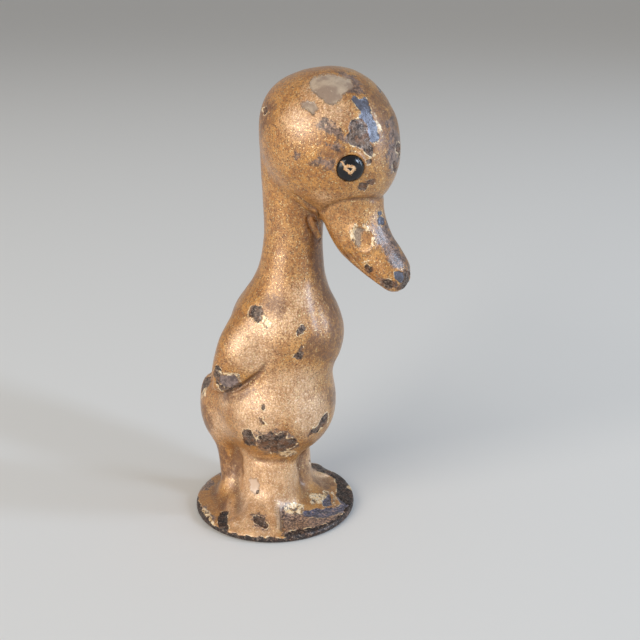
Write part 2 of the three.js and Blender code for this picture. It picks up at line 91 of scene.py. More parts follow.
# Lines of the sculpture, by the pixels of the photograph that they run through. Relief
# along a line is its rise in millimetres, negative for a groove, its half width, and the
# shares of the line over which it fades in and out. A lip lies beside its line, and its
# second number says how far off.
wing_edge_pixels = [(273, 346), (268, 361), (259, 373), (250, 380), (239, 388), (227, 393), (217, 389), (213, 379)]
wing_groove = (-0.8, 0.8, 0.4, 0.06)
wing_lip = (0.55, 1.5, 1.4, 0.4, 0.06)
cheek_rim_pixels = [(291, 191), (298, 197), (305, 202), (312, 207), (318, 211)]
cheek_groove = (-0.9, 0.6, 0.35, 0.02)
cheek_lip = (0.4, 1.2, 0.8, 0.35, 0.05)
grooves = {
    "bill crease": ([(320, 213), (328, 207), (341, 202), (356, 200), (371, 199), (384, 197)], (-0.55, 0.8, 0.1, 0.1)),
    "mouth": (
        [(347, 250), (352, 259), (359, 267), (367, 274), (376, 281), (388, 287), (398, 289)], (-0.6, 0.5, 0.1, 0.03)
    ),
    "leg": ([(298, 458), (301, 470), (306, 486)], (-0.7, 1.4, 0.3, 0.3)),
    "prop": ([(241, 452), (240, 464), (243, 480)], (-0.7, 1.4, 0.3, 0.3)),
    "chest": ([(276, 352), (292, 359), (310, 362), (331, 360)], (-0.35, 2.2, 0.25, 0.25)),
    "belly ledge": ([(243, 455), (262, 461), (285, 461), (306, 456), (322, 447)], (-0.5, 1.2, 0.2, 0.2)),
}
throat_pixels = [(317.5, 210), (325, 226), (320, 228)]
nostril_pixel = (362, 239)
nostril_run_pixels = [(352, 226), (374, 256)]
drip_pixels = [(312, 219), (314, 225), (317, 231), (319, 236)]
toe_pixels = [
    [(234, 478), (233, 492), (231, 508), (231, 527)],
    [(250, 494), (250, 508), (246, 528)],
    [(268, 492), (274, 506), (276, 531)],
]
toe_rise = 0.85
far_toe_rise = 0.5
toe_width_and_fades = (1.5, 0.5, 0.3)
toe_side_pixels = [(281, 503), (282, 516), (283, 532)]
toe_side_groove = (-0.5, 0.7, 0.3, 0.1)

# What the paint has lost in the photograph, as outlines in its pixels: across and down,
# point after point. Primer is the pale coat under the bronze; blue is polished iron, painted
# bluer near the base as a painted reflection of cool light; iron is dark bare iron. Then come
# paint thinned by wear, with painted shade on the right of the head; paint gone brown, with
# painted shade on the shaded side of the neck, chest, belly, head and bill, under the wing
# and by the far leg; and cream undercoat that stands up, with one line of it a painted
# highlight beside the blue on the crown. Round each outline, distances run out to the reach.
outline_reach = 16
losses_seen = {
    "primer": [
        [310, 83, 315, 78, 322, 74, 332, 73, 343, 77, 351, 80, 352, 87, 347, 92, 343, 96, 339, 102, 333, 106, 328,
         104, 324, 101, 319, 98, 316, 94, 312, 91, 310, 87],
        [301, 104, 304, 101, 308, 99, 311, 101, 315, 100, 317, 105, 318, 109, 315, 112, 314, 116, 311, 113, 308, 110,
         302, 108],
        [353, 228, 356, 226, 361, 227, 364, 230, 361, 234, 360, 241, 359, 248, 356, 248, 354, 240],
        [249, 480, 252, 478, 256, 479, 259, 485, 259, 492, 255, 495, 251, 491, 249, 486],
        [217, 373, 224, 375, 229, 374, 235, 376, 240, 380, 240, 384, 233, 388, 226, 389, 218, 384],
    ],
    "blue": [
        [352, 95, 357, 95, 359, 99, 365, 98, 368, 102, 371, 110, 375, 121, 379, 132, 380, 138, 375, 143, 369, 142,
         367, 132, 363, 124, 359, 117, 360, 114, 358, 108, 355, 103, 352, 99],
        [377, 219, 379, 216, 384, 217, 385, 221, 383, 225, 378, 225],
        [379, 212, 382, 211, 383, 215, 379, 216],
        [394, 271, 400, 270, 405, 273, 405, 279, 400, 282, 395, 279],
        # Blue on the base, painted bluer there as a reflection of cool light.
        [303, 512, 316, 509, 334, 507, 346, 502, 349, 506, 344, 512, 334, 516, 316, 518, 304, 516],
        [337, 497, 343, 498, 351, 505, 348, 507, 340, 503],
        [323, 500, 327, 493, 331, 497, 332, 505, 322, 507],
    ],
    "iron": [
        [362, 117, 366, 124, 370, 132, 372, 142, 374, 148, 372, 156, 368, 154, 364, 150, 358, 148, 353, 146, 346, 141,
         347, 136, 350, 132, 349, 127, 352, 121],
        [365, 181, 369, 178, 374, 178, 376, 182, 373, 186, 368, 184],
        [358, 188, 361, 184, 367, 184, 368, 188, 365, 193, 362, 191, 359, 191],
        [367, 161, 371, 160, 372, 163, 368, 164],
        [262, 108, 266, 107, 267, 112, 264, 114],
        [397, 141, 400, 143, 401, 154, 399, 158, 397, 150],
        [393, 162, 397, 163, 396, 171, 393, 171],
        [365, 264, 368, 263, 373, 268, 374, 272, 369, 273, 366, 269],
        [382, 281, 387, 278, 393, 281, 396, 285, 392, 289, 385, 288],
        [405, 270, 409, 272, 412, 277, 411, 284, 404, 289, 396, 290, 399, 285, 404, 281],
        [249, 311, 251, 307, 256, 305, 260, 306, 262, 311, 260, 315, 262, 320, 258, 325, 254, 322, 253, 318, 249,
         316],
        [297, 329, 301, 325, 304, 325, 306, 330, 302, 333, 298, 335],
        [293, 357, 298, 352, 302, 346, 304, 353, 302, 358, 296, 359],
        [215, 366, 219, 366, 221, 371, 219, 377, 219, 383, 225, 388, 232, 387, 240, 382, 242, 385, 236, 389, 229, 392,
         222, 390, 216, 385, 214, 375],
        [196, 395, 198, 384, 204, 377, 212, 376, 211, 382, 206, 387, 203, 393],
        [262, 404, 264, 406, 264, 411, 262, 409],
        [261, 422, 264, 422, 268, 425, 264, 426],
        [258, 418, 263, 418, 262, 419],
        [272, 427, 275, 425, 275, 428],
        [294, 422, 296, 422, 295, 425],
        [242, 434, 244, 430, 251, 430, 253, 435, 255, 440, 256, 446, 250, 447, 244, 444],
        [258, 437, 262, 434, 266, 436, 271, 437, 270, 432, 275, 435, 280, 433, 287, 432, 287, 438, 294, 438, 297, 443,
         293, 448, 286, 449, 281, 454, 272, 453, 270, 448, 263, 449, 258, 446, 263, 443],
        [308, 436, 311, 430, 318, 426, 321, 419, 328, 413, 329, 417, 324, 425, 318, 432],
        [218, 519, 220, 512, 224, 511, 228, 512, 228, 521, 229, 529, 227, 534, 222, 531, 218, 525],
        [253, 517, 256, 514, 260, 516, 265, 519, 268, 526, 265, 528, 258, 525, 254, 523],
        [310, 461, 325, 466, 336, 471, 346, 479, 354, 492, 356, 506, 350, 516, 344, 511, 348, 505, 339, 499, 336, 491,
         337, 483, 332, 476, 320, 472, 311, 468],
        [282, 537, 290, 531, 310, 528, 330, 522, 345, 512, 354, 500, 357, 508, 350, 522, 325, 534, 303, 540],
        [196, 492, 199, 500, 203, 511, 209, 516, 214, 525, 211, 531, 201, 521, 195, 506],
        [256.4, 490.6, 258.4, 490.4, 258.8, 492.8, 256.8, 493],
    ],
    "worn_and_shade": [
        [315, 122, 320, 120, 328, 119, 335, 122, 338, 127, 343, 132, 349, 135, 352, 141, 347, 143, 339, 140, 333, 134,
         326, 133, 320, 130, 317, 126],
        [328, 145, 334, 142, 342, 144, 343, 148, 338, 150, 331, 149],
        [293, 153, 299, 151, 301, 157, 295, 159],
        [308, 162, 320, 157, 332, 160, 333, 170, 324, 168, 318, 165],
        [336, 72, 346, 72, 356, 78, 364, 88, 366, 97, 358, 94, 351, 93, 344, 95, 350, 86, 344, 78],
        [375, 226, 386, 224, 394, 238, 401, 252, 408, 264, 410, 271, 403, 268, 394, 268, 386, 258, 379, 242],
        # Painted shade: this outline darkens the right of the head.
        [385, 120, 392, 118, 400, 134, 402, 150, 399, 162, 391, 172, 387, 160, 389, 146, 388, 132],
        [391, 158, 397, 159, 397, 172, 390, 172],
        [377, 277, 387, 278, 396, 282, 397, 288, 388, 290, 381, 285],
        [402, 262, 408, 264, 411, 272, 404, 270],
        [254, 434, 262, 434, 270, 432, 286, 431, 297, 438, 298, 446, 286, 454, 268, 453, 257, 448],
        [252, 514, 260, 511, 268, 520, 270, 529, 262, 530, 252, 526],
        [283, 536, 282, 518, 281, 509, 286, 504, 294, 504, 304, 510, 312, 511, 330, 508, 340, 504, 352, 498, 357, 510,
         345, 525, 325, 534, 300, 539],
        [197, 504, 206, 510, 213, 518, 218, 531, 213, 533, 203, 524, 195, 512],
    ],
    # Brown here is mostly painted shade: the shaded side of the neck, chest, belly, head and bill, under the wing and
    # by the far leg.
    "stain_and_shade": [
        [305, 222, 313, 228, 320, 240, 323, 262, 328, 285, 336, 300, 327, 302, 317, 282, 308, 250],
        [325, 300, 339, 305, 343, 325, 341, 345, 334, 356, 327, 345, 329, 322],
        [304, 344, 308, 338, 318, 332, 332, 344, 334, 362, 318, 360, 306, 356],
        [328, 388, 337, 388, 336, 404, 329, 406],
        [362, 84, 372, 90, 384, 95, 393, 108, 400, 124, 403, 138, 404, 152, 399, 166, 390, 176, 386, 163, 383, 150,
         382, 136, 378, 122, 374, 108, 366, 98],
        [386, 226, 393, 236, 400, 250, 408, 264, 402, 268, 396, 260, 390, 250, 384, 238],
        [322, 151, 345, 148, 346, 157, 328, 160],
        [258, 112, 267, 98, 274, 106, 268, 124, 261, 134],
        [301, 460, 306, 452, 308, 466, 309, 474, 303, 484],
        [262, 299, 272, 294, 284, 297, 287, 308, 281, 317, 274, 312, 263, 308],
        [222, 396, 240, 394, 252, 385, 254, 390, 240, 400, 226, 402],
        [344, 250, 356, 266, 372, 281, 386, 291, 378, 290, 362, 277, 348, 260],
    ],
    "crust_and_highlight": [
        [284, 507, 288, 503, 296, 503, 303, 505, 303, 512, 293, 514, 285, 514],
        [309, 496, 314, 494, 321, 494, 324, 491, 328, 492, 326, 498, 322, 503, 316, 504, 310, 503],
        [331, 490, 334, 493, 336, 499, 335, 505, 332, 504, 333, 498],
        [350, 231, 353, 226, 357, 224, 358, 227, 355, 231, 355, 239, 357, 245, 354, 244, 351, 238],
        [363, 224, 366, 225, 369, 231, 366, 232],
        [373, 238, 377, 238, 375, 246, 370, 252, 368, 249, 372, 245],
        # A painted highlight: a thin cream line beside the blue on the crown.
        [373, 112, 374.4, 112, 379.4, 125, 383.4, 137, 382, 138, 377.6, 126],
        [363, 261, 369, 260, 369, 265, 363, 264],
        [200, 510, 204, 507, 210, 512, 216, 526, 213, 527, 208, 518],
        [203, 389, 207, 388, 206, 396, 202, 398],
        [262, 312, 268, 316, 272, 325, 266, 330, 262, 322],
        [219, 371, 227, 373, 233, 373, 232, 375, 222, 375],
        [234, 373, 238, 374, 243, 383, 241, 384, 237, 378],
        [279, 452, 292, 450, 297, 453, 286, 457, 281, 456],
    ],
}

# Losses out of the photograph's sight, as places and radii in millimetres, on the tips
# and edges that wear on such a thing.
losses_unseen = {
    "primer": [(4, 15.5, 108, 4.2), (-6, 9, 116, 3.4), (-12, 14, 62, 3.6), (2, 14.5, 40, 3.0)],
    "blue": [(17.5, 6, 111, 4.4), (28, 1.5, 69.5, 2.8), (19.5, -3.5, 100, 0.8)],
    "iron": [
        (-20.5, 11.5, 40.5, 3.4), (-29, 0, 38, 2.4), (12, 14, 99, 2.6), (8, 15.5, 92, 1.6), (-13.5, 2, 110, 2.0),
        (-15.5, -4, 92, 1.3), (-14.5, 3.5, 78, 1.8), (-19, 6, 60, 2.2), (-22.5, -5, 30, 1.8), (-24, 3, 24, 2.6),
        (-16, 8, 10, 2.0), (10, 9, 25, 3.2), (5, 15, 30, 2.2), (-8, 16, 28, 1.4), (10, 12, 52, 2.0),
        (2, 14.5, 58, 1.5), (-2, 20.5, 3, 2.6), (5, 20.5, 3.2, 1.4), (-3, 15.2, 37.2, 1.3), (-10.5, 15.4, 29.5, 1.2),
    ],
    "worn_and_shade": [
        (-18, 16, 2.5, 4.2), (-28, 6, 2, 3.8), (-30, -4, 2, 3.2), (-21, -18, 2, 3.4), (12, 14, 2, 4.0),
        (10, 9, 25, 4.6), (12, 14, 99, 4.2), (-14, 1, 104, 5.0), (-16, 3, 66, 4.0), (-7, 15.5, 32, 4.0),
        (14, 10, 110, 4.6), (8, 15, 92, 3.2), (-20.5, 11.5, 40.5, 4.6), (22, 4, 84, 3.0), (5, 14, 50, 3.0),
    ],
    "crust_and_highlight": [
        (17, 4.5, 106, 0.9), (26.5, 4, 71, 0.8), (-19.5, 9, 42.5, 1.2), (-16, 14, 2.8, 1.6), (10, 14.5, 2.6, 1.8),
    ],
    "stain_and_shade": [
        (-13, 4, 96, 5), (-15, -3, 86, 4), (-17, 1, 62, 6), (10, 14, 100, 5), (11, 13, 58, 5), (-9, 15, 27, 5),
        (-24, 5, 30, 5), (-22, -6, 12, 5), (4, 12, 8, 5), (-9, 9, 74, 5), (-22, 9, 50, 5), (0, 16, 44, 4),
        (-18, 10, 18, 5), (14, 8, 88, 4), (-14, -6, 112, 4), (-26, -8, 26, 4), (-19, -9, 60, 4),
    ],
}
losses = ("primer", "blue", "iron", "worn_and_shade", "stain_and_shade", "crust_and_highlight")

# Where handling has polished the paint pale, and where paler paint stands in as painted light on
# the head's upper left, the chest, the legs, feet and tail, on both sides: pixels of the
# photograph, and radii in millimetres.
rubbed_and_painted_light_pixels = [
    (330, 112, 5), (322, 197, 2.6), (318, 92, 5), (296, 118, 5), (250, 352, 7), (262, 330, 5), (284, 318, 6),
    (300, 300, 5), (285, 395, 8), (298, 386, 6.4), (255, 415, 8), (310, 415, 7), (240, 405, 5), (255, 470, 6),
    (272, 478, 7), (290, 480, 6), (270, 498, 7), (250, 522, 6), (320, 488, 5), (236, 480, 5), (215, 430, 4),
    (245, 505, 7), (275, 515, 6), (236, 525, 4), (258, 488, 7), (262, 530, 5), (225, 400, 4), (219, 424, 5),
]
rubbed_and_painted_light_edge = (-4.5, 2)

# Where the base's rim is bare iron: below the lowest height, and outside the rim's width
base_rim_height = 1.8
base_rim_width = 1.0
bare_below = 0.6

# The gold paint left on the eyes, as an outline in the photograph's pixels; its upper left lobe paints the eye's
# highlight in gold.
gilding_and_highlight_pixels = [
    339, 161, 342, 160, 346, 164.5, 350, 164, 354, 165, 357.5, 167.5, 355.5, 171, 352, 175.5, 348.5, 174.5, 346, 172,
    343.5, 170, 343, 166.5,
]


def make_camera():
    camera = bpy.data.objects.new("photo_camera", bpy.data.cameras.new("photo_camera"))
    bpy.context.scene.collection.objects.link(camera)
    camera.data.sensor_width = sensor_width
    camera.data.lens = lens
    camera.location = camera_place
    camera.rotation_euler = (math.radians(90) - camera_pitch, 0, camera_azimuth)
    bpy.context.scene.camera = camera
    bpy.context.view_layer.update()
    return camera


camera = make_camera()
camera_turn = np.array(camera.matrix_world.to_3x3())
pixel_focal = lens / sensor_width * photo_pixels


def pixels_of(places):
    """Where places fall in the photograph, in its pixels."""
    local = (places - np.array(camera_place)) @ camera_turn
    across = photo_pixels / 2 + pixel_focal * local[:, 0] / -local[:, 2]
    down = photo_pixels / 2 - pixel_focal * local[:, 1] / -local[:, 2]
    return np.stack([across, down], axis=1)


def ray_through(pixel):
    """The direction from the camera through a pixel of the photograph."""
    local = np.array([pixel[0] - photo_pixels / 2, photo_pixels / 2 - pixel[1], -pixel_focal])
    return Vector(camera_turn @ local).normalized()


def only(*pieces):
    """Selects these pieces and nothing else. The first is the active one."""
    bpy.ops.object.select_all(action="DESELECT")
    for piece in pieces:
        piece.select_set(True)
    bpy.context.view_layer.objects.active = pieces[0]


def finish_with(piece, kind, **settings):
    """Gives a piece a modifier with these settings, and applies it."""
    only(piece)
    modifier = piece.modifiers.new(kind.lower(), kind)
    for name, value in settings.items():
        setattr(modifier, name, value)
    bpy.ops.object.modifier_apply(modifier=modifier.name)


def cut(piece, cutter, operation="DIFFERENCE"):
    """Cuts a piece with a cutter, or joins them, and removes the cutter."""
    finish_with(
        piece, "BOOLEAN", object=cutter, operation=operation, solver="MANIFOLD", material_mode="TRANSFER"
    )
    bpy.data.objects.remove(cutter)


def edit_all(piece, operator, **settings):
    """Runs a mesh operator on the whole of a piece."""
    only(piece)
    bpy.ops.object.mode_set(mode="EDIT")
    bpy.ops.mesh.select_all(action="SELECT")
    operator(**settings)
    bpy.ops.object.mode_set(mode="OBJECT")


def weld(piece):
    edit_all(piece, bpy.ops.mesh.remove_doubles, threshold=0.001 * mm)


def face_out(piece):
    edit_all(piece, bpy.ops.mesh.normals_make_consistent, inside=False)


def copy_of(piece, name, *materials):
    """A copy of a piece with a mesh of its own, in these materials."""
    data = piece.data.copy()
    data.materials.clear()
    for material in materials:
        data.materials.append(material)
    twin = bpy.data.objects.new(name, data)
    bpy.context.scene.collection.objects.link(twin)
    return twin


def packed_copy(node, name, *materials):
    """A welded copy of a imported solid."""
    twin = copy_of(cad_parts[node], name, *materials)
    weld(twin)
    return twin


def corners_of(piece, what="co"):
    """The places of a piece's corners, one row for each."""
    flat = np.empty(len(piece.data.vertices) * 3)
    piece.data.vertices.foreach_get(what, flat)
    return flat.reshape(-1, 3)


def normals_of(piece):
    return corners_of(piece, "normal")


def move_corners(piece, corners):
    piece.data.vertices.foreach_set("co", corners.ravel())
    piece.data.update()


def store(piece, name, values):
    """Keeps a number for each corner, for the materials to read."""
    attribute = piece.data.attributes.new(name, "FLOAT", "POINT")
    attribute.data.foreach_set("value", values.astype(np.float32))


def add_cylinder(name, radius, low, high, place, axis, corners=96):
    """A cylinder from one height to another along an axis through a place."""
    axis = Vector(axis)
    turn = axis.to_track_quat("Z", "Y").to_euler()
    middle = Vector(place) + axis * ((low + high) / 2)
    bpy.ops.object.select_all(action="DESELECT")
    bpy.ops.mesh.primitive_cylinder_add(
        vertices=corners, radius=radius, depth=high - low, location=middle, rotation=turn
    )
    bpy.ops.object.transform_apply(location=True, rotation=True, scale=True)
    bpy.context.object.name = name
    return bpy.context.object


def add_block(name, low, high):
    """A block from its lowest corner to its highest."""
    bpy.ops.object.select_all(action="DESELECT")
    bpy.ops.mesh.primitive_cube_add(size=1, location=(Vector(low) + Vector(high)) / 2)
    block = bpy.context.object
    block.name = name
    block.scale = Vector(high) - Vector(low)
    bpy.ops.object.transform_apply(location=True, rotation=True, scale=True)
    return block


def add_turned(name, profile, place, axis, segments=96):
    """A turned piece: radii and heights from its top to its foot, on an axis through a place."""
    bpy.ops.object.select_all(action="DESELECT")
    bpy.ops.mesh.primitive_uv_sphere_add(segments=segments, ring_count=len(profile) - 1, radius=1)
    piece = bpy.context.object
    piece.name = name
    turn = Vector(axis).to_track_quat("Z", "Y")
    bpy.ops.object.mode_set(mode="EDIT")
    mesh = bmesh.from_edit_mesh(piece.data)
    for corner in mesh.verts:
        ring = round(math.acos(max(-1, min(1, corner.co.z))) / math.pi * (len(profile) - 1))
        radius, height = profile[ring]
        angle = math.atan2(corner.co.y, corner.co.x)
        local = Vector((radius * math.cos(angle), radius * math.sin(angle), height))
        corner.co = Vector(place) + turn @ local
    bmesh.update_edit_mesh(piece.data)
    bpy.ops.object.mode_set(mode="OBJECT")
    face_out(piece)
    return piece


class Stud:
    """What an eye's solid measures: its place, its axis, and its heights and radii along it."""

    def __init__(self, node):
        corners = corners_of(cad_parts[node])
        middle = corners.mean(axis=0)
        spread, ways = np.linalg.eigh(np.cov((corners - middle).T))
        lone = 0 if spread[1] - spread[0] > spread[2] - spread[1] else 2
        axis = ways[:, lone] * np.sign(ways[1, lone] * middle[1])
        heights = (corners - middle) @ axis
        radii = np.linalg.norm(corners - middle - np.outer(heights, axis), axis=1)
        on_rim = radii > radii.max() - 0.01 * mm
        at_end = heights < heights.min() + 0.01 * mm
        self.place = Vector(middle)
        self.axis = Vector(axis)
        self.radius = radii.max()
        self.rim_low = heights[on_rim].min()
        self.rim_high = heights[on_rim].max()
        self.top = heights.max()
        self.shank_end = heights.min()
        self.shank_radius = radii[at_end].max()


studs = {"right_eye": Stud("right_eye"), "left_eye": Stud("left_eye")}
screw_low, screw_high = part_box("assembly_screw")
screw_place = Vector(((screw_low.x + screw_high.x) / 2, 0, (screw_low.z + screw_high.z) / 2))
screw_radius = (screw_high.x - screw_low.x) / 2
screw_seat = screw_high.y - 2.1 * mm


def make_skin():
    """The two packed halves as one smooth casting, with its holes plugged."""
    skin = packed_copy("right_half", "casting_skin")
    other = packed_copy("left_half", "left_copy")
    only(skin, other)
    bpy.ops.object.join()
    weld(skin)
    bpy.ops.object.mode_set(mode="EDIT")
    bpy.ops.mesh.select_all(action="DESELECT")
    bpy.ops.object.mode_set(mode="OBJECT")
    for face in skin.data.polygons:
        face.select = abs(face.center.y) < 0.001 * mm and abs(face.normal.y) > 0.999
    bpy.ops.object.mode_set(mode="EDIT")
    bpy.ops.mesh.delete(type="FACE")
    bpy.ops.mesh.select_all(action="SELECT")
    bpy.ops.mesh.tris_convert_to_quads(
        face_threshold=math.radians(40), shape_threshold=math.radians(60)
    )
    bpy.ops.object.mode_set(mode="OBJECT")
    finish_with(skin, "SUBSURF", levels=2, render_levels=2)
    wider = clearance + 0.1 * mm
    plugs = [
        add_cylinder("plug", stud.radius + wider, stud.shank_end, stud.rim_high, stud.place, stud.axis)
        for stud in studs.values()
    ]
    plug_low = screw_high.y - 6 * mm
    plugs.append(add_cylinder("plug", screw_radius + wider, plug_low, screw_high.y, screw_place, (0, 1, 0)))
    only(skin, *plugs)
    bpy.ops.object.join()
    finish_with(skin, "REMESH", mode="VOXEL", voxel_size=skin_voxel)
    finish_with(skin, "SMOOTH", factor=0.5, iterations=smooth_rounds)
    soften_feet(skin)
    for side in (1, -1):
        cut(skin, throat_slot(side))
    return skin


def throat_slot(side):
    """A wedge along the camera's sight, where the bill parts from the throat, or its mirror image."""
    slot = add_cylinder("throat_slot", 1, -1, 1, (0, 0, 0), (0, 0, 1), corners=3)
    ends = {1: slot_far, -1: slot_near}
    for corner in slot.data.vertices:
        turn = round(math.atan2(corner.co.x, corner.co.y) / math.radians(120)) % 3
        way = ray_through(throat_pixels[turn])
        flank = -ends[round(corner.co.z)] * mm
        place = camera_place + way * ((flank - camera_place.y) / way.y)
        corner.co = Vector((place.x, side * place.y, place.z))
    face_out(slot)
    return slot


def soften_feet(skin):
    """Melts the toes into the webs, as foundry patterns do once they wear."""
    corners = corners_of(skin)
    out = np.hypot(corners[:, 0] - base_middle.x, corners[:, 1]) / mm
    height = corners[:, 2] / mm
    weight = step_over(height, 2.0, 2.8) * step_over(height, 12.0, 7.5) * step_over(out, 6.0, 11.0)
    group = skin.vertex_groups.new(name="feet")
    for number in np.flatnonzero(weight > 0.01):
        group.add([int(number)], float(weight[number]), "REPLACE")
    finish_with(skin, "SMOOTH", factor=0.6, iterations=foot_smooth_rounds, vertex_group="feet")


def step_over(value, low, high):
    """A smooth step from 0 to 1 as the value runs from low to high."""
    share = np.clip((value - low) / (high - low), 0, 1)
    return share * share * (3 - 2 * share)


def bell(distance, width):
    return np.exp(-((distance / width) ** 2))


def fade(share, start=0.15, end=0.15):
    """1 along a path, falling smoothly to 0 over a share of it at each end."""
    return np.minimum(step_over(share, 0, start), step_over(1 - share, 0, end))


skin = make_skin()
skin_mesh = bmesh.new()
skin_mesh.from_mesh(skin.data)
smooth_tree = BVHTree.FromBMesh(skin_mesh)
skin_mesh.free()


def on_skin(pixel):
    """The place on the skin that a pixel of the photograph shows, or the nearest place to it."""
    way = ray_through(pixel)
    place = smooth_tree.ray_cast(camera_place, way)[0]
    if place is None:
        across = -camera_place.dot(way)
        place = smooth_tree.find_nearest(camera_place + across * way)[0]
    return place


class Near:
    """How places lie to a path on the skin: how far off, on which side, and how far along it."""

    def __init__(self, places, normals, pixels):
        path = np.array([on_skin(pixel) for pixel in pixels])
        spans = np.linalg.norm(np.diff(path, axis=0), axis=1)
        starts = np.concatenate([[0], np.cumsum(spans)])
        best = np.full(len(places), np.inf)
        side = np.zeros(len(places))
        self.share = np.zeros(len(places))
        for number, span in enumerate(spans):
            run = (path[number + 1] - path[number]) / span
            offset = places - path[number]
            along = np.clip(offset @ run, 0, span)
            off = offset - np.outer(along, run)
            distance = np.linalg.norm(off, axis=1)
            nearer = distance < best
            best[nearer] = distance[nearer]
            side[nearer] = np.einsum("ij,ij->i", np.cross(run, normals), off)[nearer]
            self.share[nearer] = ((starts[number] + along) / starts[-1])[nearer]
        self.distance = best / mm
        self.side = np.where(side < 0, -self.distance, self.distance)


def rough_of(places, length, octaves, seed=0.0):
    """Smooth noise between about -1 and 1, with lumps of this length in millimetres."""
    shift = Vector((seed, 2 * seed, 3 * seed))
    return np.array(
        [noise.fractal(Vector(place) / (length * mm) + shift, 1.0, 2.0, octaves) for place in places]
    )


def averaged(corners, edges, rounds):
    """The corners, each moved to the middle of its neighbours, again and again."""
    count = np.bincount(edges.ravel(), minlength=len(corners))
    for _ in range(rounds):
        total = np.zeros_like(corners)
        for axis in range(3):
            for near, far in ((0, 1), (1, 0)):
                total[:, axis] += np.bincount(edges[:, near], corners[edges[:, far], axis], len(corners))
        corners = total / count[:, None]
    return corners


def ridge(near, rise, width, start, end):
    """A rounded ridge along a path, or a groove where its rise is negative, in millimetres."""
    return rise * bell(near.distance, width) * fade(near.share, start, end)


def lip(near, rise, off, width, start, end):
    """A rounded swelling beside a path, this far off, in millimetres."""
    return rise * (near.side > 0) * bell(near.distance - off, width) * fade(near.share, start, end)


def drip_relief(near):
    """A run of paint along a path, fuller toward its end, with a dip round it, in millimetres."""
    swell = 0.55 + 0.45 * near.share
    return 0.8 * swell * bell(near.distance, 0.6 * swell) - 0.3 * bell(near.distance - 1.2, 0.4)


def meniscus_relief(corners):
    """The ring of paint drawn up round each eye, in millimetres."""
    height = np.zeros(len(corners))
    for stud in studs.values():
        offset = (corners - np.array(stud.place)) / mm
        apart = np.linalg.norm(np.cross(offset, np.array(stud.axis)), axis=1)
        ring = bell(apart - stud.radius / mm - 0.4, 0.35)
        height += 0.22 * ring * (offset @ np.array(stud.axis) > -4)
    return height


def carve(skin):
    """Draws the sculpture's lines, the casting's unevenness and the paint's losses into the skin."""
    corners = corners_of(skin)
    normals = normals_of(skin)
    side = np.where(corners[:, 1] > 0, -1, 1)
    facing = normals * np.stack([np.ones(len(side)), side, np.ones(len(side))], axis=1)
    places = corners.copy()
    places[:, 1] = -np.abs(places[:, 1])
    wing = Near(places, facing, wing_edge_pixels)
    height = ridge(wing, *wing_groove) + lip(wing, *wing_lip)
    for pixels, groove in grooves.values():
        height += ridge(Near(places, facing, pixels), *groove)
    for pixels in toe_pixels:
        rise = np.where(side > 0, toe_rise, far_toe_rise)
        height += ridge(Near(places, facing, pixels), rise, *toe_width_and_fades)
    height += nostril_relief(places)
    height += meniscus_relief(corners)
    cheek = Near(places, facing, cheek_rim_pixels)
    height += ridge(cheek, *cheek_groove)
    height += lip(cheek, *cheek_lip)
    height += ridge(Near(corners, normals, toe_side_pixels), *toe_side_groove)
    height += drip_relief(Near(corners, normals, drip_pixels))
    off_ground = step_over(corners[:, 2] / mm, 0.2, 2.5)
    height += uneven_height / mm * rough_of(corners, uneven_length / mm, 2) * off_ground
    corners = corners + normals * height[:, None] * mm

    found = measure_losses(corners, normals)
    least = np.min([found["primer"], found["blue"], found["iron"]], axis=0)
    sunk = chip_depth * (1 - step_over(least, *chip_edge)) * off_ground
    corners -= normals * sunk[:, None] * mm
    corners[corners[:, 2] < 0.12 * mm, 2] = 0
    move_corners(skin, corners)
    edges = np.empty(len(skin.data.edges) * 2, int)
    skin.data.edges.foreach_get("vertices", edges)
    level = averaged(corners, edges.reshape(-1, 2), hollow_rounds)
    wide = averaged(level, edges.reshape(-1, 2), wide_hollow_rounds)
    # How hollow each corner lies; the paint browns there, as painted shade and dirt.
    found["hollow"] = np.einsum("ij,ij->i", level - corners, normals) / mm
    found["hollow"] += wide_hollow_share * np.maximum(np.einsum("ij,ij->i", wide - level, normals) / mm, 0)
    # Paler paint where handling polishes it, and painted light where light falls strongest.
    folded = corners / mm
    folded[:, 1] = -np.abs(folded[:, 1])
    apart = [np.linalg.norm(folded - on_skin((x, y)) / mm, axis=1) - radius for x, y, radius in rubbed_and_painted_light_pixels]
    found["rubbed_and_painted_light"] = 1 - step_over(np.min(apart, axis=0), *rubbed_and_painted_light_edge)
    return found


def nostril_relief(places):
    """A shallow oval dish with a raised ring round it, in millimetres."""
    start, end = (np.array(on_skin(pixel)) for pixel in nostril_run_pixels)
    run = (end - start) / np.linalg.norm(end - start)
    offset = (places - np.array(on_skin(nostril_pixel))) / mm
    along = offset @ run
    aside = np.linalg.norm(offset - np.outer(along, run), axis=1)
    oval = np.hypot(along / 3.5, aside / 2.7)
    return 0.28 * bell(oval - 1, 0.16) - 0.18 * bell(oval, 0.7)


def outline_distance(points, outline):
    """How far pixels lie outside a closed outline, negative inside it."""
    nearest = np.full(len(points), np.inf)
    inside = np.zeros(len(points), bool)
    for start, end in zip(outline, np.roll(outline, -1, axis=0)):
        run = end - start
        offset = points - start
        share = np.clip(offset @ run / (run @ run), 0, 1)
        nearest = np.minimum(nearest, np.linalg.norm(offset - np.outer(share, run), axis=1))
        crosses = (start[1] > points[:, 1]) != (end[1] > points[:, 1])
        slope = run[0] / (run[1] if run[1] else 1e-9)
        inside ^= crosses & (offset[:, 0] < slope * offset[:, 1])
    return np.where(inside, -nearest, nearest)


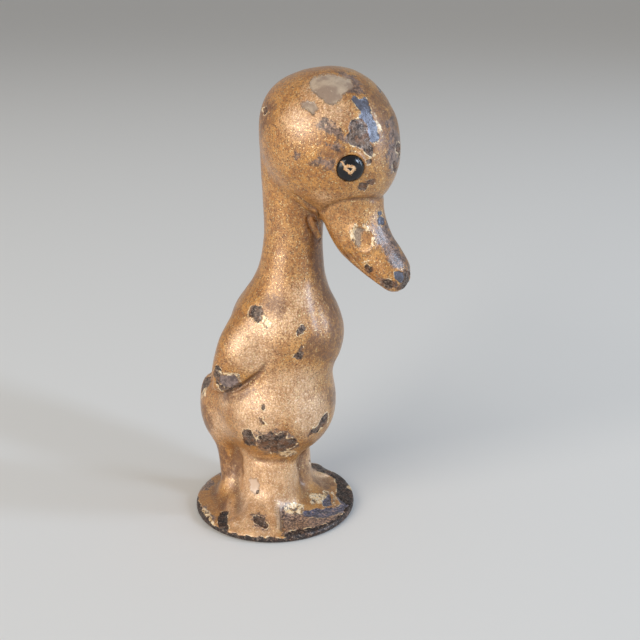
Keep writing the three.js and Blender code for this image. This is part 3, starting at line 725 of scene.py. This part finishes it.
def seen_distance(places, normals, outlines):
    """How far places lie outside outlines of the photograph, in millimetres, where it sees them."""
    to_camera = np.array(camera_place) - places
    away = np.linalg.norm(to_camera, axis=1)
    faces_camera = np.einsum("ij,ij->i", normals, to_camera) / away > 0.03
    pixels = pixels_of(places)
    pixel_size = away / mm / pixel_focal
    distance = np.full(len(places), farthest)
    for numbers in outlines:
        outline = np.reshape(numbers, (-1, 2)).astype(float)
        low = np.min(outline, axis=0) - outline_reach
        high = np.max(outline, axis=0) + outline_reach
        close = np.flatnonzero(faces_camera & np.all((pixels > low) & (pixels < high), axis=1))
        apart = outline_distance(pixels[close], outline) * pixel_size[close]
        distance[close] = np.minimum(distance[close], apart)
    for number in np.flatnonzero(distance < farthest):
        way = Vector(-to_camera[number])
        if smooth_tree.ray_cast(camera_place, way, away[number] - 2.5 * mm)[0] is not None:
            distance[number] = farthest
    return distance


def measure_losses(places, normals):
    """For each kind of loss, how far outside it each place lies, in millimetres."""
    found = {}
    lumpy = 1 + unseen_ragged * rough_of(places, unseen_ragged_length, 3, seed=7.0)
    for kind in losses:
        distance = seen_distance(places, normals, losses_seen[kind])
        for x, y, z, radius in losses_unseen[kind]:
            apart = np.linalg.norm(places / mm - (x, y, z), axis=1) - radius * lumpy
            distance = np.minimum(distance, apart)
        if kind == "iron":
            out = (np.hypot(places[:, 0] - base_middle.x, places[:, 1]) - base_radius) / mm
            up = places[:, 2] / mm
            rim = np.maximum(up - base_rim_height, -base_rim_width - out)
            distance = np.minimum(distance, np.minimum(rim, up - bare_below))
        close = np.flatnonzero(np.abs(distance) < 3)
        ragged = rough_of(places[close], chip_ragged_length, 4, seed=len(found) + 1.0)
        distance[close] += chip_ragged * ragged
        found[kind] = np.clip(distance, -farthest, farthest)
    return found


# Materials
def tint(red, green, blue):
    """A colour from its three screen values, 0 to 255."""
    shares = [value / 255 for value in (red, green, blue)]
    linear = [share / 12.92 if share <= 0.04045 else ((share + 0.055) / 1.055) ** 2.4 for share in shares]
    return (*linear, 1)


class Bench:
    """Lays out the nodes of one material or one shared effect."""

    def __init__(self, tree):
        self.tree = tree

    def put(self, kind, into=(), **settings):
        """A node with these settings, and these values or wires into its sockets."""
        node = self.tree.nodes.new("ShaderNode" + kind)
        for name, value in settings.items():
            setattr(node, name, value)
        for socket, value in dict(into).items():
            if isinstance(value, bpy.types.NodeSocket):
                self.tree.links.new(value, node.inputs[socket])
            else:
                node.inputs[socket].default_value = value
        return node

    def sum(self, first, second, operation="ADD"):
        return self.put("Math", {0: first, 1: second}, operation=operation).outputs[0]

    def times(self, first, second):
        return self.sum(first, second, "MULTIPLY")

    def over(self, value, low, high, to_low=0.0, to_high=1.0):
        """A smooth step as the value runs from low to high."""
        into = {"Value": value, "From Min": low, "From Max": high, "To Min": to_low, "To Max": to_high}
        return self.put("MapRange", into, interpolation_type="SMOOTHSTEP").outputs[0]

    def mix(self, share, first, second):
        into = {0: share, 6: first, 7: second}
        return self.put("Mix", into, data_type="RGBA", clamp_factor=True).outputs[2]

    def blend(self, value, low, high, first, second):
        """One hue turning to another as the value runs from low to high."""
        return self.mix(self.over(value, low, high), tint(*first), tint(*second))

    def fleck(self, colour, value, start, full, share, hue):
        """A colour with up to this share of a hue laid over it, as the value runs from start to full."""
        return self.mix(self.over(value, start, full, 0, share), colour, tint(*hue))

    def lerp(self, share, first, second):
        into = {0: share, 2: first, 3: second}
        return self.put("Mix", into, data_type="FLOAT", clamp_factor=True).outputs[0]

    def millimetres(self, stretch=(1, 1, 1), shift=(0, 0, 0)):
        """Places on the piece, in millimetres."""
        place = self.put("TexCoord").outputs["Object"]
        into = {"Vector": place, "Scale": [1000 * v for v in stretch], "Location": shift}
        return self.put("Mapping", into).outputs[0]

    def lumps(self, place, size, detail=3.0, roughness=0.55, distortion=0.0):
        """Noise with lumps of about this size in millimetres."""
        into = {
            "Vector": place, "Scale": 1 / size, "Detail": detail, "Roughness": roughness, "Distortion": distortion
        }
        return self.put("TexNoise", into).outputs[0]

    def up(self, place):
        """How high places are."""
        return self.put("SeparateXYZ", {0: place}).outputs[2]

    def named(self, attribute):
        """A number that the piece keeps for each corner."""
        return self.put("Attribute", attribute_name=attribute).outputs["Fac"]


def shared_effect(name, takes, gives):
    """A node group, with the sockets that it takes and gives."""
    group = bpy.data.node_groups.new(name, "ShaderNodeTree")
    for socket, kind in takes.items():
        group.interface.new_socket(socket, in_out="INPUT", socket_type="NodeSocket" + kind)
    for socket, kind in gives.items():
        group.interface.new_socket(socket, in_out="OUTPUT", socket_type="NodeSocket" + kind)
    bench = Bench(group)
    bench.given = group.nodes.new("NodeGroupInput").outputs
    bench.result = group.nodes.new("NodeGroupOutput").inputs
    return group, bench


def give(bench, **results):
    """Leads results out of a shared effect."""
    for name, socket in results.items():
        bench.tree.links.new(socket, bench.result[name.replace("_", " ")])


def bronze_paint_effect():
    """Old bronze powder paint: ochre, speckled and streaked, paler and pinker where handling polishes
    it and as painted light, and browner in hollows as painted shade and dirt.
    """
    gives = {"Colour": "Color", "Roughness": "Float", "Metallic": "Float", "Height": "Float"}
    group, bench = shared_effect("bronze_paint", {"Hollow": "Float", "Rubbed_and_painted_light": "Float"}, gives)
    place = bench.millimetres()
    cloud = bench.lumps(place, 15.0, 2.0)
    # This noise only mottles the paint's own tone at random.
    stain_and_shade = bench.lumps(place, 3.2, 5.0, 0.7, 0.4)
    speck = bench.lumps(place, 0.8, 3.0, 0.8)
    grain = bench.lumps(bench.millimetres(shift=(11, 3, 23)), 0.42, 2.0, 0.8)
    flake = bench.lumps(bench.millimetres(shift=(31, 7, 12)), 0.46, 2.0, 0.85)
    streak = bench.lumps(bench.millimetres((1.8, 1.8, 0.26)), 1.0, 3.0, 0.6)
    dust = bench.lumps(bench.millimetres(shift=(5, 40, 3)), 1.3, 5.0, 0.82)
    height_up = bench.up(place)
    busy = bench.over(height_up, 9, 26, 0.45, 1.0)
    busy = bench.times(busy, bench.over(bench.given["Rubbed_and_painted_light"], 0.2, 1.0, 1.0, 0.55))
    pale = bench.sum(bench.given["Rubbed_and_painted_light"], bench.over(cloud, 0.3, 0.7, -0.25, 0.2))
    rubbed_and_painted_light = bench.blend(stain_and_shade, 0.36, 0.64, (194, 148, 105), (223, 180, 138))
    colour = bench.blend(stain_and_shade, 0.36, 0.64, (166, 108, 46), (199, 141, 68))
    # Paler where handling polishes the paint, and painted light.
    colour = bench.mix(pale, colour, rubbed_and_painted_light)
    colour = bench.fleck(colour, streak, 0.56, 0.34, 0.3, (150, 106, 66))
    specks = bench.times(bench.over(speck, 0.53, 0.32, 0, 0.68), busy)
    grains = bench.times(bench.over(grain, 0.52, 0.32, 0, 0.85), busy)
    colour = bench.mix(specks, colour, tint(102, 61, 30))
    colour = bench.mix(grains, colour, tint(96, 60, 32))
    light_grain = bench.times(bench.over(grain, 0.54, 0.66, 0, 0.55), bench.given["Rubbed_and_painted_light"])
    colour = bench.mix(light_grain, colour, tint(255, 232, 206))
    colour = bench.fleck(colour, dust, 0.40, 0.31, 0.8, (98, 68, 48))
    # Painted shade and dirt: browner in the hollows.
    colour = bench.fleck(colour, bench.given["Hollow"], 0.04, 0.32, 0.7, (98, 60, 32))
    colour = bench.fleck(colour, flake, 0.57, 0.69, 0.8, (255, 230, 176))
    roughness = bench.over(speck, 0.3, 0.7, 0.32, 0.56)
    metallic = bench.over(flake, 0.5, 0.65, 0.08, 0.8)
    height = bench.sum(bench.times(speck, 0.11), bench.times(flake, 0.07))
    height = bench.sum(height, bench.times(streak, 0.05))
    give(bench, Colour=colour, Roughness=roughness, Metallic=metallic, Height=height)
    return group


def bare_iron_effect():
    """Old bare iron: dark brown-grey and gritty, with brighter grain where handling has polished it, and darker
    towards the bottom.
    """
    gives = {"Colour": "Color", "Roughness": "Float", "Height": "Float"}
    group, bench = shared_effect("bare_iron", {"Rust": "Float"}, gives)
    place = bench.millimetres()
    blotch = bench.lumps(place, 1.6, 5.0, 0.75)
    grit = bench.lumps(place, 0.6, 3.0, 0.8)
    colour = bench.blend(blotch, 0.42, 0.58, (54, 41, 35), (122, 102, 88))
    colour = bench.fleck(colour, grit, 0.53, 0.66, 0.7, (176, 158, 144))
    colour = bench.fleck(colour, grit, 0.44, 0.36, 0.6, (34, 26, 24))
    scale = bench.lumps(bench.millimetres(shift=(2, 9, 60)), 2.2, 4.0, 0.7)
    rust = bench.times(bench.over(scale, 0.48, 0.6), bench.given["Rust"])
    colour = bench.mix(rust, colour, tint(134, 88, 54))
    height_up = bench.up(place)
    # Darker towards the bottom.
    low_darkening = bench.times(bench.over(height_up, 5.0, 2.4), bench.over(grit, 0.62, 0.46, 0.25, 0.8))
    colour = bench.mix(low_darkening, colour, tint(34, 31, 34))
    roughness = bench.over(grit, 0.3, 0.7, 0.58, 0.4)
    height = bench.sum(bench.times(grit, 0.09), bench.times(blotch, 0.2))
    give(bench, Colour=colour, Roughness=roughness, Height=height)
    return group


bronze_paint = bronze_paint_effect()
bare_iron = bare_iron_effect()


def new_material(name):
    """A material, the bench for its nodes, and its shader."""
    material = bpy.data.materials.new(name)
    material.use_nodes = True
    bench = Bench(material.node_tree)
    return material, bench, material.node_tree.nodes["Principled BSDF"]


def wire(bench, shader, colour, roughness, metallic, height):
    """Leads a finish into the shader, with its relief in millimetres."""
    bump = bench.put("Bump", {"Height": height, "Strength": 1.0, "Distance": mm}).outputs[0]
    wires = {"Base Color": colour, "Roughness": roughness, "Metallic": metallic, "Normal": bump}
    for socket, source in wires.items():
        if source is not None:
            bench.tree.links.new(source, shader.inputs[socket])


def painted_iron():
    """The painted outside, with every coat and loss that the skin keeps a distance for."""
    material, bench, shader = new_material("bronze_painted_iron")
    place = bench.millimetres()
    height_up = bench.up(place)
    fine = bench.lumps(place, 0.6, 4.0, 0.75)
    loose = bench.lumps(bench.millimetres(shift=(9, 9, 9)), 1.5, 5.0, 0.8)
    here = bench.lumps(bench.millimetres(shift=(3, 50, 20)), 2.4, 4.0, 0.65)
    soft = bench.lumps(bench.millimetres(shift=(70, 5, 2)), 4.5, 3.0, 0.5)
    paint = bench.put("Group", node_tree=bronze_paint)
    bench.tree.links.new(bench.named("hollow"), paint.inputs["Hollow"])
    bench.tree.links.new(bench.named("rubbed_and_painted_light"), paint.inputs["Rubbed_and_painted_light"])
    iron = bench.put("Group", node_tree=bare_iron)
    iron.inputs["Rust"].default_value = 0.5

    def loss(attribute, ragged, width, by=fine):
        """1 inside a loss, with a ragged edge, and the distance to that edge."""
        offset = bench.times(bench.sum(by, 0.5, "SUBTRACT"), ragged)
        distance = bench.sum(bench.named(attribute), offset)
        return bench.over(distance, width, -width), distance

    stain_and_shade_mask, _ = loss("stain_and_shade", 5.0, 1.1, loose)
    worn_and_shade, _ = loss("worn_and_shade", 6.0, 0.4, loose)
    primer, primer_distance = loss("primer", 2.0, 0.3)
    blue, blue_distance = loss("blue", 0.8, 0.07)
    bare, bare_distance = loss("iron", 0.8, 0.06)
    crust_and_highlight_mask, _ = loss("crust_and_highlight", 1.2, 0.15)

    stain_and_shade_mask = bench.times(stain_and_shade_mask, bench.over(fine, 0.62, 0.42, 0.6, 1.0))
    stain_and_shade_mask = bench.times(stain_and_shade_mask, bench.over(loose, 0.6, 0.46, 0.4, 1.0))
    worn_and_shade = bench.times(worn_and_shade, bench.over(fine, 0.66, 0.52, 0.4, 0.9))
    worn_and_shade_colour = bench.blend(loose, 0.4, 0.6, (60, 46, 45), (140, 115, 104))
    worn_and_shade_colour = bench.fleck(worn_and_shade_colour, fine, 0.46, 0.38, 0.8, (56, 42, 36))
    worn_and_shade_colour = bench.fleck(worn_and_shade_colour, fine, 0.56, 0.63, 0.75, (184, 150, 128))
    low = bench.over(height_up, 5.0, 3.6)
    flecks = bench.times(bench.over(fine, 0.52, 0.57, 0, 0.85), low)
    worn_and_shade_colour = bench.mix(flecks, worn_and_shade_colour, tint(214, 176, 148))
    flecks = bench.times(bench.over(fine, 0.49, 0.45, 0, 0.8), low)
    worn_and_shade_colour = bench.mix(flecks, worn_and_shade_colour, tint(50, 40, 48))
    primer_colour = bench.blend(soft, 0.42, 0.6, (174, 153, 130), (142, 120, 102))
    primer_colour = bench.fleck(primer_colour, fine, 0.4, 0.33, 0.5, (112, 88, 70))
    primer_colour = bench.fleck(primer_colour, fine, 0.6, 0.7, 0.5, (214, 196, 170))
    primer_specks = bench.times(bench.over(fine, 0.54, 0.44), bench.over(height_up, 108, 104))
    primer_colour = bench.mix(primer_specks, primer_colour, tint(118, 98, 80))
    mauve = bench.blend(loose, 0.42, 0.58, (84, 68, 64), (134, 114, 108))
    primer_colour = bench.mix(bench.over(height_up, 56, 50), primer_colour, mauve)
    primer_colour = bench.mix(bench.over(height_up, 24, 20), primer_colour, tint(206, 178, 154))
    blue_colour = bench.blend(here, 0.36, 0.56, (74, 70, 74), (92, 92, 104))
    blue_colour = bench.fleck(blue_colour, fine, 0.6, 0.7, 0.45, (160, 148, 148))
    gap_colour = bench.blend(fine, 0.42, 0.56, (72, 58, 54), (160, 120, 76))
    # Near the base, blue painted in as a reflection of cool light on the bare iron.
    low_iron_and_blue_reflection = bench.blend(loose, 0.44, 0.58, (84, 80, 92), (118, 124, 160))
    low_iron_and_blue_reflection = bench.fleck(low_iron_and_blue_reflection, fine, 0.49, 0.41, 0.85, (60, 48, 48))
    low_iron_and_blue_reflection = bench.fleck(low_iron_and_blue_reflection, fine, 0.57, 0.63, 0.7, (206, 186, 166))
    low_iron_and_blue_reflection = bench.mix(bench.over(loose, 0.52, 0.58, 0, 0.75), low_iron_and_blue_reflection, worn_and_shade_colour)
    blue_colour = bench.mix(low, blue_colour, low_iron_and_blue_reflection)
    cream_colour = bench.blend(fine, 0.4, 0.6, (246, 224, 190), (228, 188, 130))

    # Brown for stains, and painted shade on the shaded side.
    colour = bench.mix(stain_and_shade_mask, paint.outputs["Colour"], tint(112, 72, 40))
    # Paint thinned by wear, and painted shade on the right of the head.
    colour = bench.mix(worn_and_shade, colour, worn_and_shade_colour)
    nearest = bench.sum(bench.sum(blue_distance, 0.12), bare_distance, "MINIMUM")
    rim = bench.times(bench.over(nearest, 0.34, 0.16), bench.over(here, 0.5, 0.57))
    shade = bench.sum(nearest, primer_distance, "MINIMUM")
    shade = bench.times(bench.over(shade, 0.3, 0.1, 0, 0.55), bench.over(here, 0.52, 0.42))
    colour = bench.mix(shade, colour, tint(96, 60, 36))
    colour = bench.mix(rim, colour, cream_colour)
    colour = bench.mix(primer, colour, primer_colour)
    colour = bench.mix(blue, colour, blue_colour)
    colour = bench.mix(bare, colour, iron.outputs["Colour"])
    # Cream undercoat, and one painted highlight.
    colour = bench.mix(crust_and_highlight_mask, colour, bench.mix(bench.over(loose, 0.5, 0.46), cream_colour, gap_colour))

    roughness = bench.lerp(worn_and_shade, paint.outputs["Roughness"], 0.27)
    roughness = bench.lerp(primer, roughness, 0.38)
    roughness = bench.lerp(blue, roughness, 0.32)
    roughness = bench.lerp(bare, roughness, iron.outputs["Roughness"])
    lost = bench.sum(bench.sum(primer, blue, "MAXIMUM"), bare, "MAXIMUM")
    bare_metallic = bench.sum(bench.times(blue, 0.4), bench.times(bare, 0.4))
    metallic = bench.lerp(bench.sum(lost, worn_and_shade, "MAXIMUM"), paint.outputs["Metallic"], bare_metallic)
    bare_height = bench.lerp(blue, iron.outputs["Height"], bench.times(here, 0.05))
    bare_height = bench.lerp(primer, bare_height, bench.times(soft, 0.2))
    height = bench.lerp(lost, paint.outputs["Height"], bench.sum(bare_height, -0.1))
    raised = bench.sum(rim, bench.times(crust_and_highlight_mask, fine))
    height = bench.sum(height, bench.times(raised, 0.08))
    wire(bench, shader, colour, roughness, metallic, height)
    coat = bench.lerp(bare, 0.65, 0.12)
    bench.tree.links.new(coat, shader.inputs["Coat Weight"])
    shader.inputs["Coat Roughness"].default_value = 0.28
    return material


def raw_casting():
    """The casting inside and on its parting faces: never painted."""
    material, bench, shader = new_material("raw_casting")
    iron = bench.put("Group", {"Rust": 0.9}, node_tree=bare_iron)
    wire(bench, shader, iron.outputs["Colour"], iron.outputs["Roughness"], None, iron.outputs["Height"])
    shader.inputs["Metallic"].default_value = 0.2
    return material


def screw_steel():
    """Old steel, with bronze paint left on it in patches."""
    material, bench, shader = new_material("screw_steel")
    place = bench.millimetres()
    iron = bench.put("Group", {"Rust": 0.5}, node_tree=bare_iron)
    paint = bench.put("Group", {"Hollow": 0.0, "Rubbed_and_painted_light": 0.3}, node_tree=bronze_paint)
    patch = bench.over(bench.lumps(place, 1.6, 4.0, 0.7), 0.52, 0.58)
    colour = bench.mix(patch, iron.outputs["Colour"], paint.outputs["Colour"])
    roughness = bench.lerp(patch, iron.outputs["Roughness"], paint.outputs["Roughness"])
    metallic = bench.lerp(patch, 0.5, paint.outputs["Metallic"])
    height = bench.lerp(patch, iron.outputs["Height"], bench.sum(paint.outputs["Height"], 0.05))
    wire(bench, shader, colour, roughness, metallic, height)
    return material


def black_enamel():
    """Glossy black, with what is left of the gold paint, and a painted highlight in gold at its upper left."""
    material, bench, shader = new_material("black_enamel")
    place = bench.millimetres()
    fine = bench.lumps(place, 0.45, 4.0, 0.75)
    paint = bench.put("Group", {"Hollow": 0.0, "Rubbed_and_painted_light": 0.3}, node_tree=bronze_paint)
    distance = bench.sum(bench.named("gilding_and_highlight"), bench.times(bench.sum(fine, 0.5, "SUBTRACT"), 1.6))
    gilt_and_highlight = bench.over(distance, -0.08, -0.18)
    hole = bench.over(bench.named("gilding_and_highlight"), -0.78, -0.9)
    gilt_and_highlight = bench.times(gilt_and_highlight, bench.sum(1.0, hole, "SUBTRACT"))
    black = bench.fleck(tint(12, 12, 15), fine, 0.55, 0.72, 0.5, (42, 39, 42))
    gold = bench.mix(bench.over(fine, 0.42, 0.56, 0.1, 0.9), paint.outputs["Colour"], tint(216, 180, 140))
    # Gold paint, and a painted highlight in gold at the upper left.
    colour = bench.mix(gilt_and_highlight, black, gold)
    roughness = bench.lerp(gilt_and_highlight, bench.over(fine, 0.3, 0.7, 0.12, 0.24), 0.5)
    height = bench.sum(bench.times(gilt_and_highlight, 0.12), bench.times(fine, 0.02))
    wire(bench, shader, colour, roughness, None, height)
    return material


painted = painted_iron()
raw = raw_casting()
steel = screw_steel()
enamel = black_enamel()

found = carve(skin)
skin_places = corners_of(skin)
nearest_corner = KDTree(len(skin_places))
for number, place in enumerate(skin_places):
    nearest_corner.insert(place, number)
nearest_corner.balance()
skin.data.materials.append(painted)

core = copy_of(skin, "core", raw)
finish_with(core, "REMESH", mode="VOXEL", voxel_size=core_voxel)
move_corners(core, corners_of(core) - normals_of(core) * core_inset)
finish_with(core, "REMESH", mode="VOXEL", voxel_size=core_voxel)


def side_block(side):
    """A block that holds everything on one side of the parting plane."""
    reach = 60 * mm
    low = Vector((-reach, -reach if side < 0 else 0, -reach))
    high = Vector((reach, 0 if side < 0 else reach, 3 * reach))
    block = add_block("side", low, high)
    block.data.materials.append(raw)
    return block


def make_half(node, name, side):
    """One half of the casting: its painted outside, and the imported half's own hollow inside."""
    half = copy_of(skin, name, painted)
    cut(half, side_block(side), "INTERSECT")
    hollow = copy_of(core, "hollow", raw)
    cut(hollow, packed_copy(node, "packed", raw))
    cut(half, hollow)
    stud = studs["right_eye" if side < 0 else "left_eye"]
    recess = stud.radius + 0.05 * mm
    socket = add_cylinder("socket", recess, stud.rim_low - clearance, 5 * mm, stud.place, stud.axis)
    socket.data.materials.append(raw)
    cut(half, socket)
    if side > 0:
        well = add_cylinder("well", screw_radius + clearance, screw_seat, 40 * mm, screw_place, (0, 1, 0))
        well.data.materials.append(raw)
        cut(half, well)
    else:
        pegs = packed_copy(node, "pegs", raw)
        cut(pegs, side_block(1), "INTERSECT")
        cut(half, pegs, "UNION")
    numbers = [nearest_corner.find(corner.co)[1] for corner in half.data.vertices]
    for kind, distance in found.items():
        store(half, kind, distance[numbers])
    only(half)
    bpy.ops.object.shade_smooth_by_angle(angle=math.radians(48))
    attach(half, "root")
    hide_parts(node)
    return half


def dome(radius, low, high, steps):
    """Radii and heights of a dome, from its top to its foot."""
    turns = [math.pi / 2 * step / steps for step in range(steps + 1)]
    return [(radius * math.sin(turn), low + (high - low) * math.cos(turn)) for turn in turns]


def make_eye(node, name):
    """A domed stud with its shank."""
    stud = studs[node]
    soft = 0.15 * mm
    profile = dome(stud.radius, stud.rim_high, stud.top, 24)
    profile += [
        (stud.radius, stud.rim_low + soft), (stud.radius - soft, stud.rim_low),
        (stud.shank_radius + soft, stud.rim_low), (stud.shank_radius, stud.rim_low - soft),
        (stud.shank_radius, stud.shank_end + soft), (stud.shank_radius - soft, stud.shank_end), (0, stud.shank_end),
    ]
    eye = add_turned(name, profile, stud.place, stud.axis)
    eye.data.materials.append(enamel)
    finish_with(eye, "SUBSURF", levels=1, render_levels=1)
    places = corners_of(eye)
    normals = normals_of(eye)
    side = -np.sign(stud.place.y)
    distance = seen_distance(places * [1, side, 1], normals * [1, side, 1], [gilding_and_highlight_pixels])
    store(eye, "gilding_and_highlight", distance)
    only(eye)
    bpy.ops.object.shade_smooth_by_angle(angle=math.radians(50))
    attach(eye, "root")
    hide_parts(node)


def make_screw():
    """The slotted, dome-headed screw, with rings for its thread."""
    slot_width = 0.9 * mm
    slot_depth = 1.1 * mm
    shank_radius = 2.0 * mm
    root_radius = shank_radius - 0.42 * mm
    pitch = 0.8 * mm
    soft = 0.2 * mm
    profile = dome(screw_radius, screw_seat + soft, screw_high.y, 20)
    profile += [(screw_radius - soft / 2, screw_seat), (shank_radius, screw_seat)]
    profile += [(shank_radius, screw_seat - 3 * mm)]
    height = screw_seat - 3.3 * mm
    while height > screw_low.y + pitch:
        profile += [(root_radius, height), (shank_radius, height - pitch / 2)]
        height -= pitch
    profile += [(root_radius, screw_low.y), (0, screw_low.y)]
    screw = add_turned("slotted_screw", profile, screw_place, (0, 1, 0))
    middle = Vector((screw_place.x, screw_high.y, screw_place.z))
    reach = Vector((2 * screw_radius, slot_depth, slot_width / 2))
    cut(screw, add_block("slot", middle - reach, middle + reach))
    screw.data.materials.clear()
    screw.data.materials.append(steel)
    finish_with(screw, "BEVEL", width=0.08 * mm, segments=2, limit_method="ANGLE", angle_limit=math.radians(50))
    only(screw)
    bpy.ops.object.shade_smooth_by_angle(angle=math.radians(40))
    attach(screw, "root")
    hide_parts("assembly_screw")


make_half("right_half", "right_casting", -1)
make_half("left_half", "left_casting", 1)
make_eye("right_eye", "right_eye_stud")
make_eye("left_eye", "left_eye_stud")
make_screw()
bpy.data.objects.remove(core)
bpy.data.objects.remove(skin)


# The studio
def softbox(name, place, size, power, colour):
    """A rectangular lamp turned to the middle of the figure."""
    light = bpy.data.lights.new(name, "AREA")
    light.shape = "RECTANGLE"
    light.size, light.size_y = size
    light.energy = power
    light.color = colour
    lamp = bpy.data.objects.new(name, light)
    bpy.context.scene.collection.objects.link(lamp)
    lamp.location = place
    lamp.rotation_euler = (Vector((0, 0, 0.06)) - Vector(place)).to_track_quat("-Z", "Y").to_euler()


rightward = Vector((math.cos(camera_azimuth), math.sin(camera_azimuth), 0))
toward = Vector((math.sin(camera_azimuth), -math.cos(camera_azimuth), 0))
up = Vector((0, 0, 1))
softbox("left_softbox", -1.2 * rightward + 1.25 * toward + 0.6 * up, (1.35, 1.2), 31, (1, 0.94, 0.85))
softbox("front_window", 1.25 * rightward + 0.82 * toward + 0.62 * up, (0.2, 0.56), 10, (0.64, 0.79, 1))
softbox("right_window", 1.54 * rightward + 0.2 * toward + 0.55 * up, (0.2, 0.96), 11, (0.62, 0.78, 1))
world = bpy.data.worlds.new("studio")
bpy.context.scene.world = world
world.use_nodes = True
world.node_tree.nodes["Background"].inputs[0].default_value = (0.38, 0.38, 0.38, 1)
bpy.ops.object.select_all(action="DESELECT")
bpy.ops.mesh.primitive_plane_add(size=60)
floor = bpy.context.object
floor.name = "floor"
pale, _, pale_shader = new_material("pale_floor")
pale_shader.inputs["Base Color"].default_value = tint(226, 224, 220)
pale_shader.inputs["Roughness"].default_value = 0.9
floor.data.materials.append(pale)
bpy.context.scene.view_settings.view_transform = "Standard"
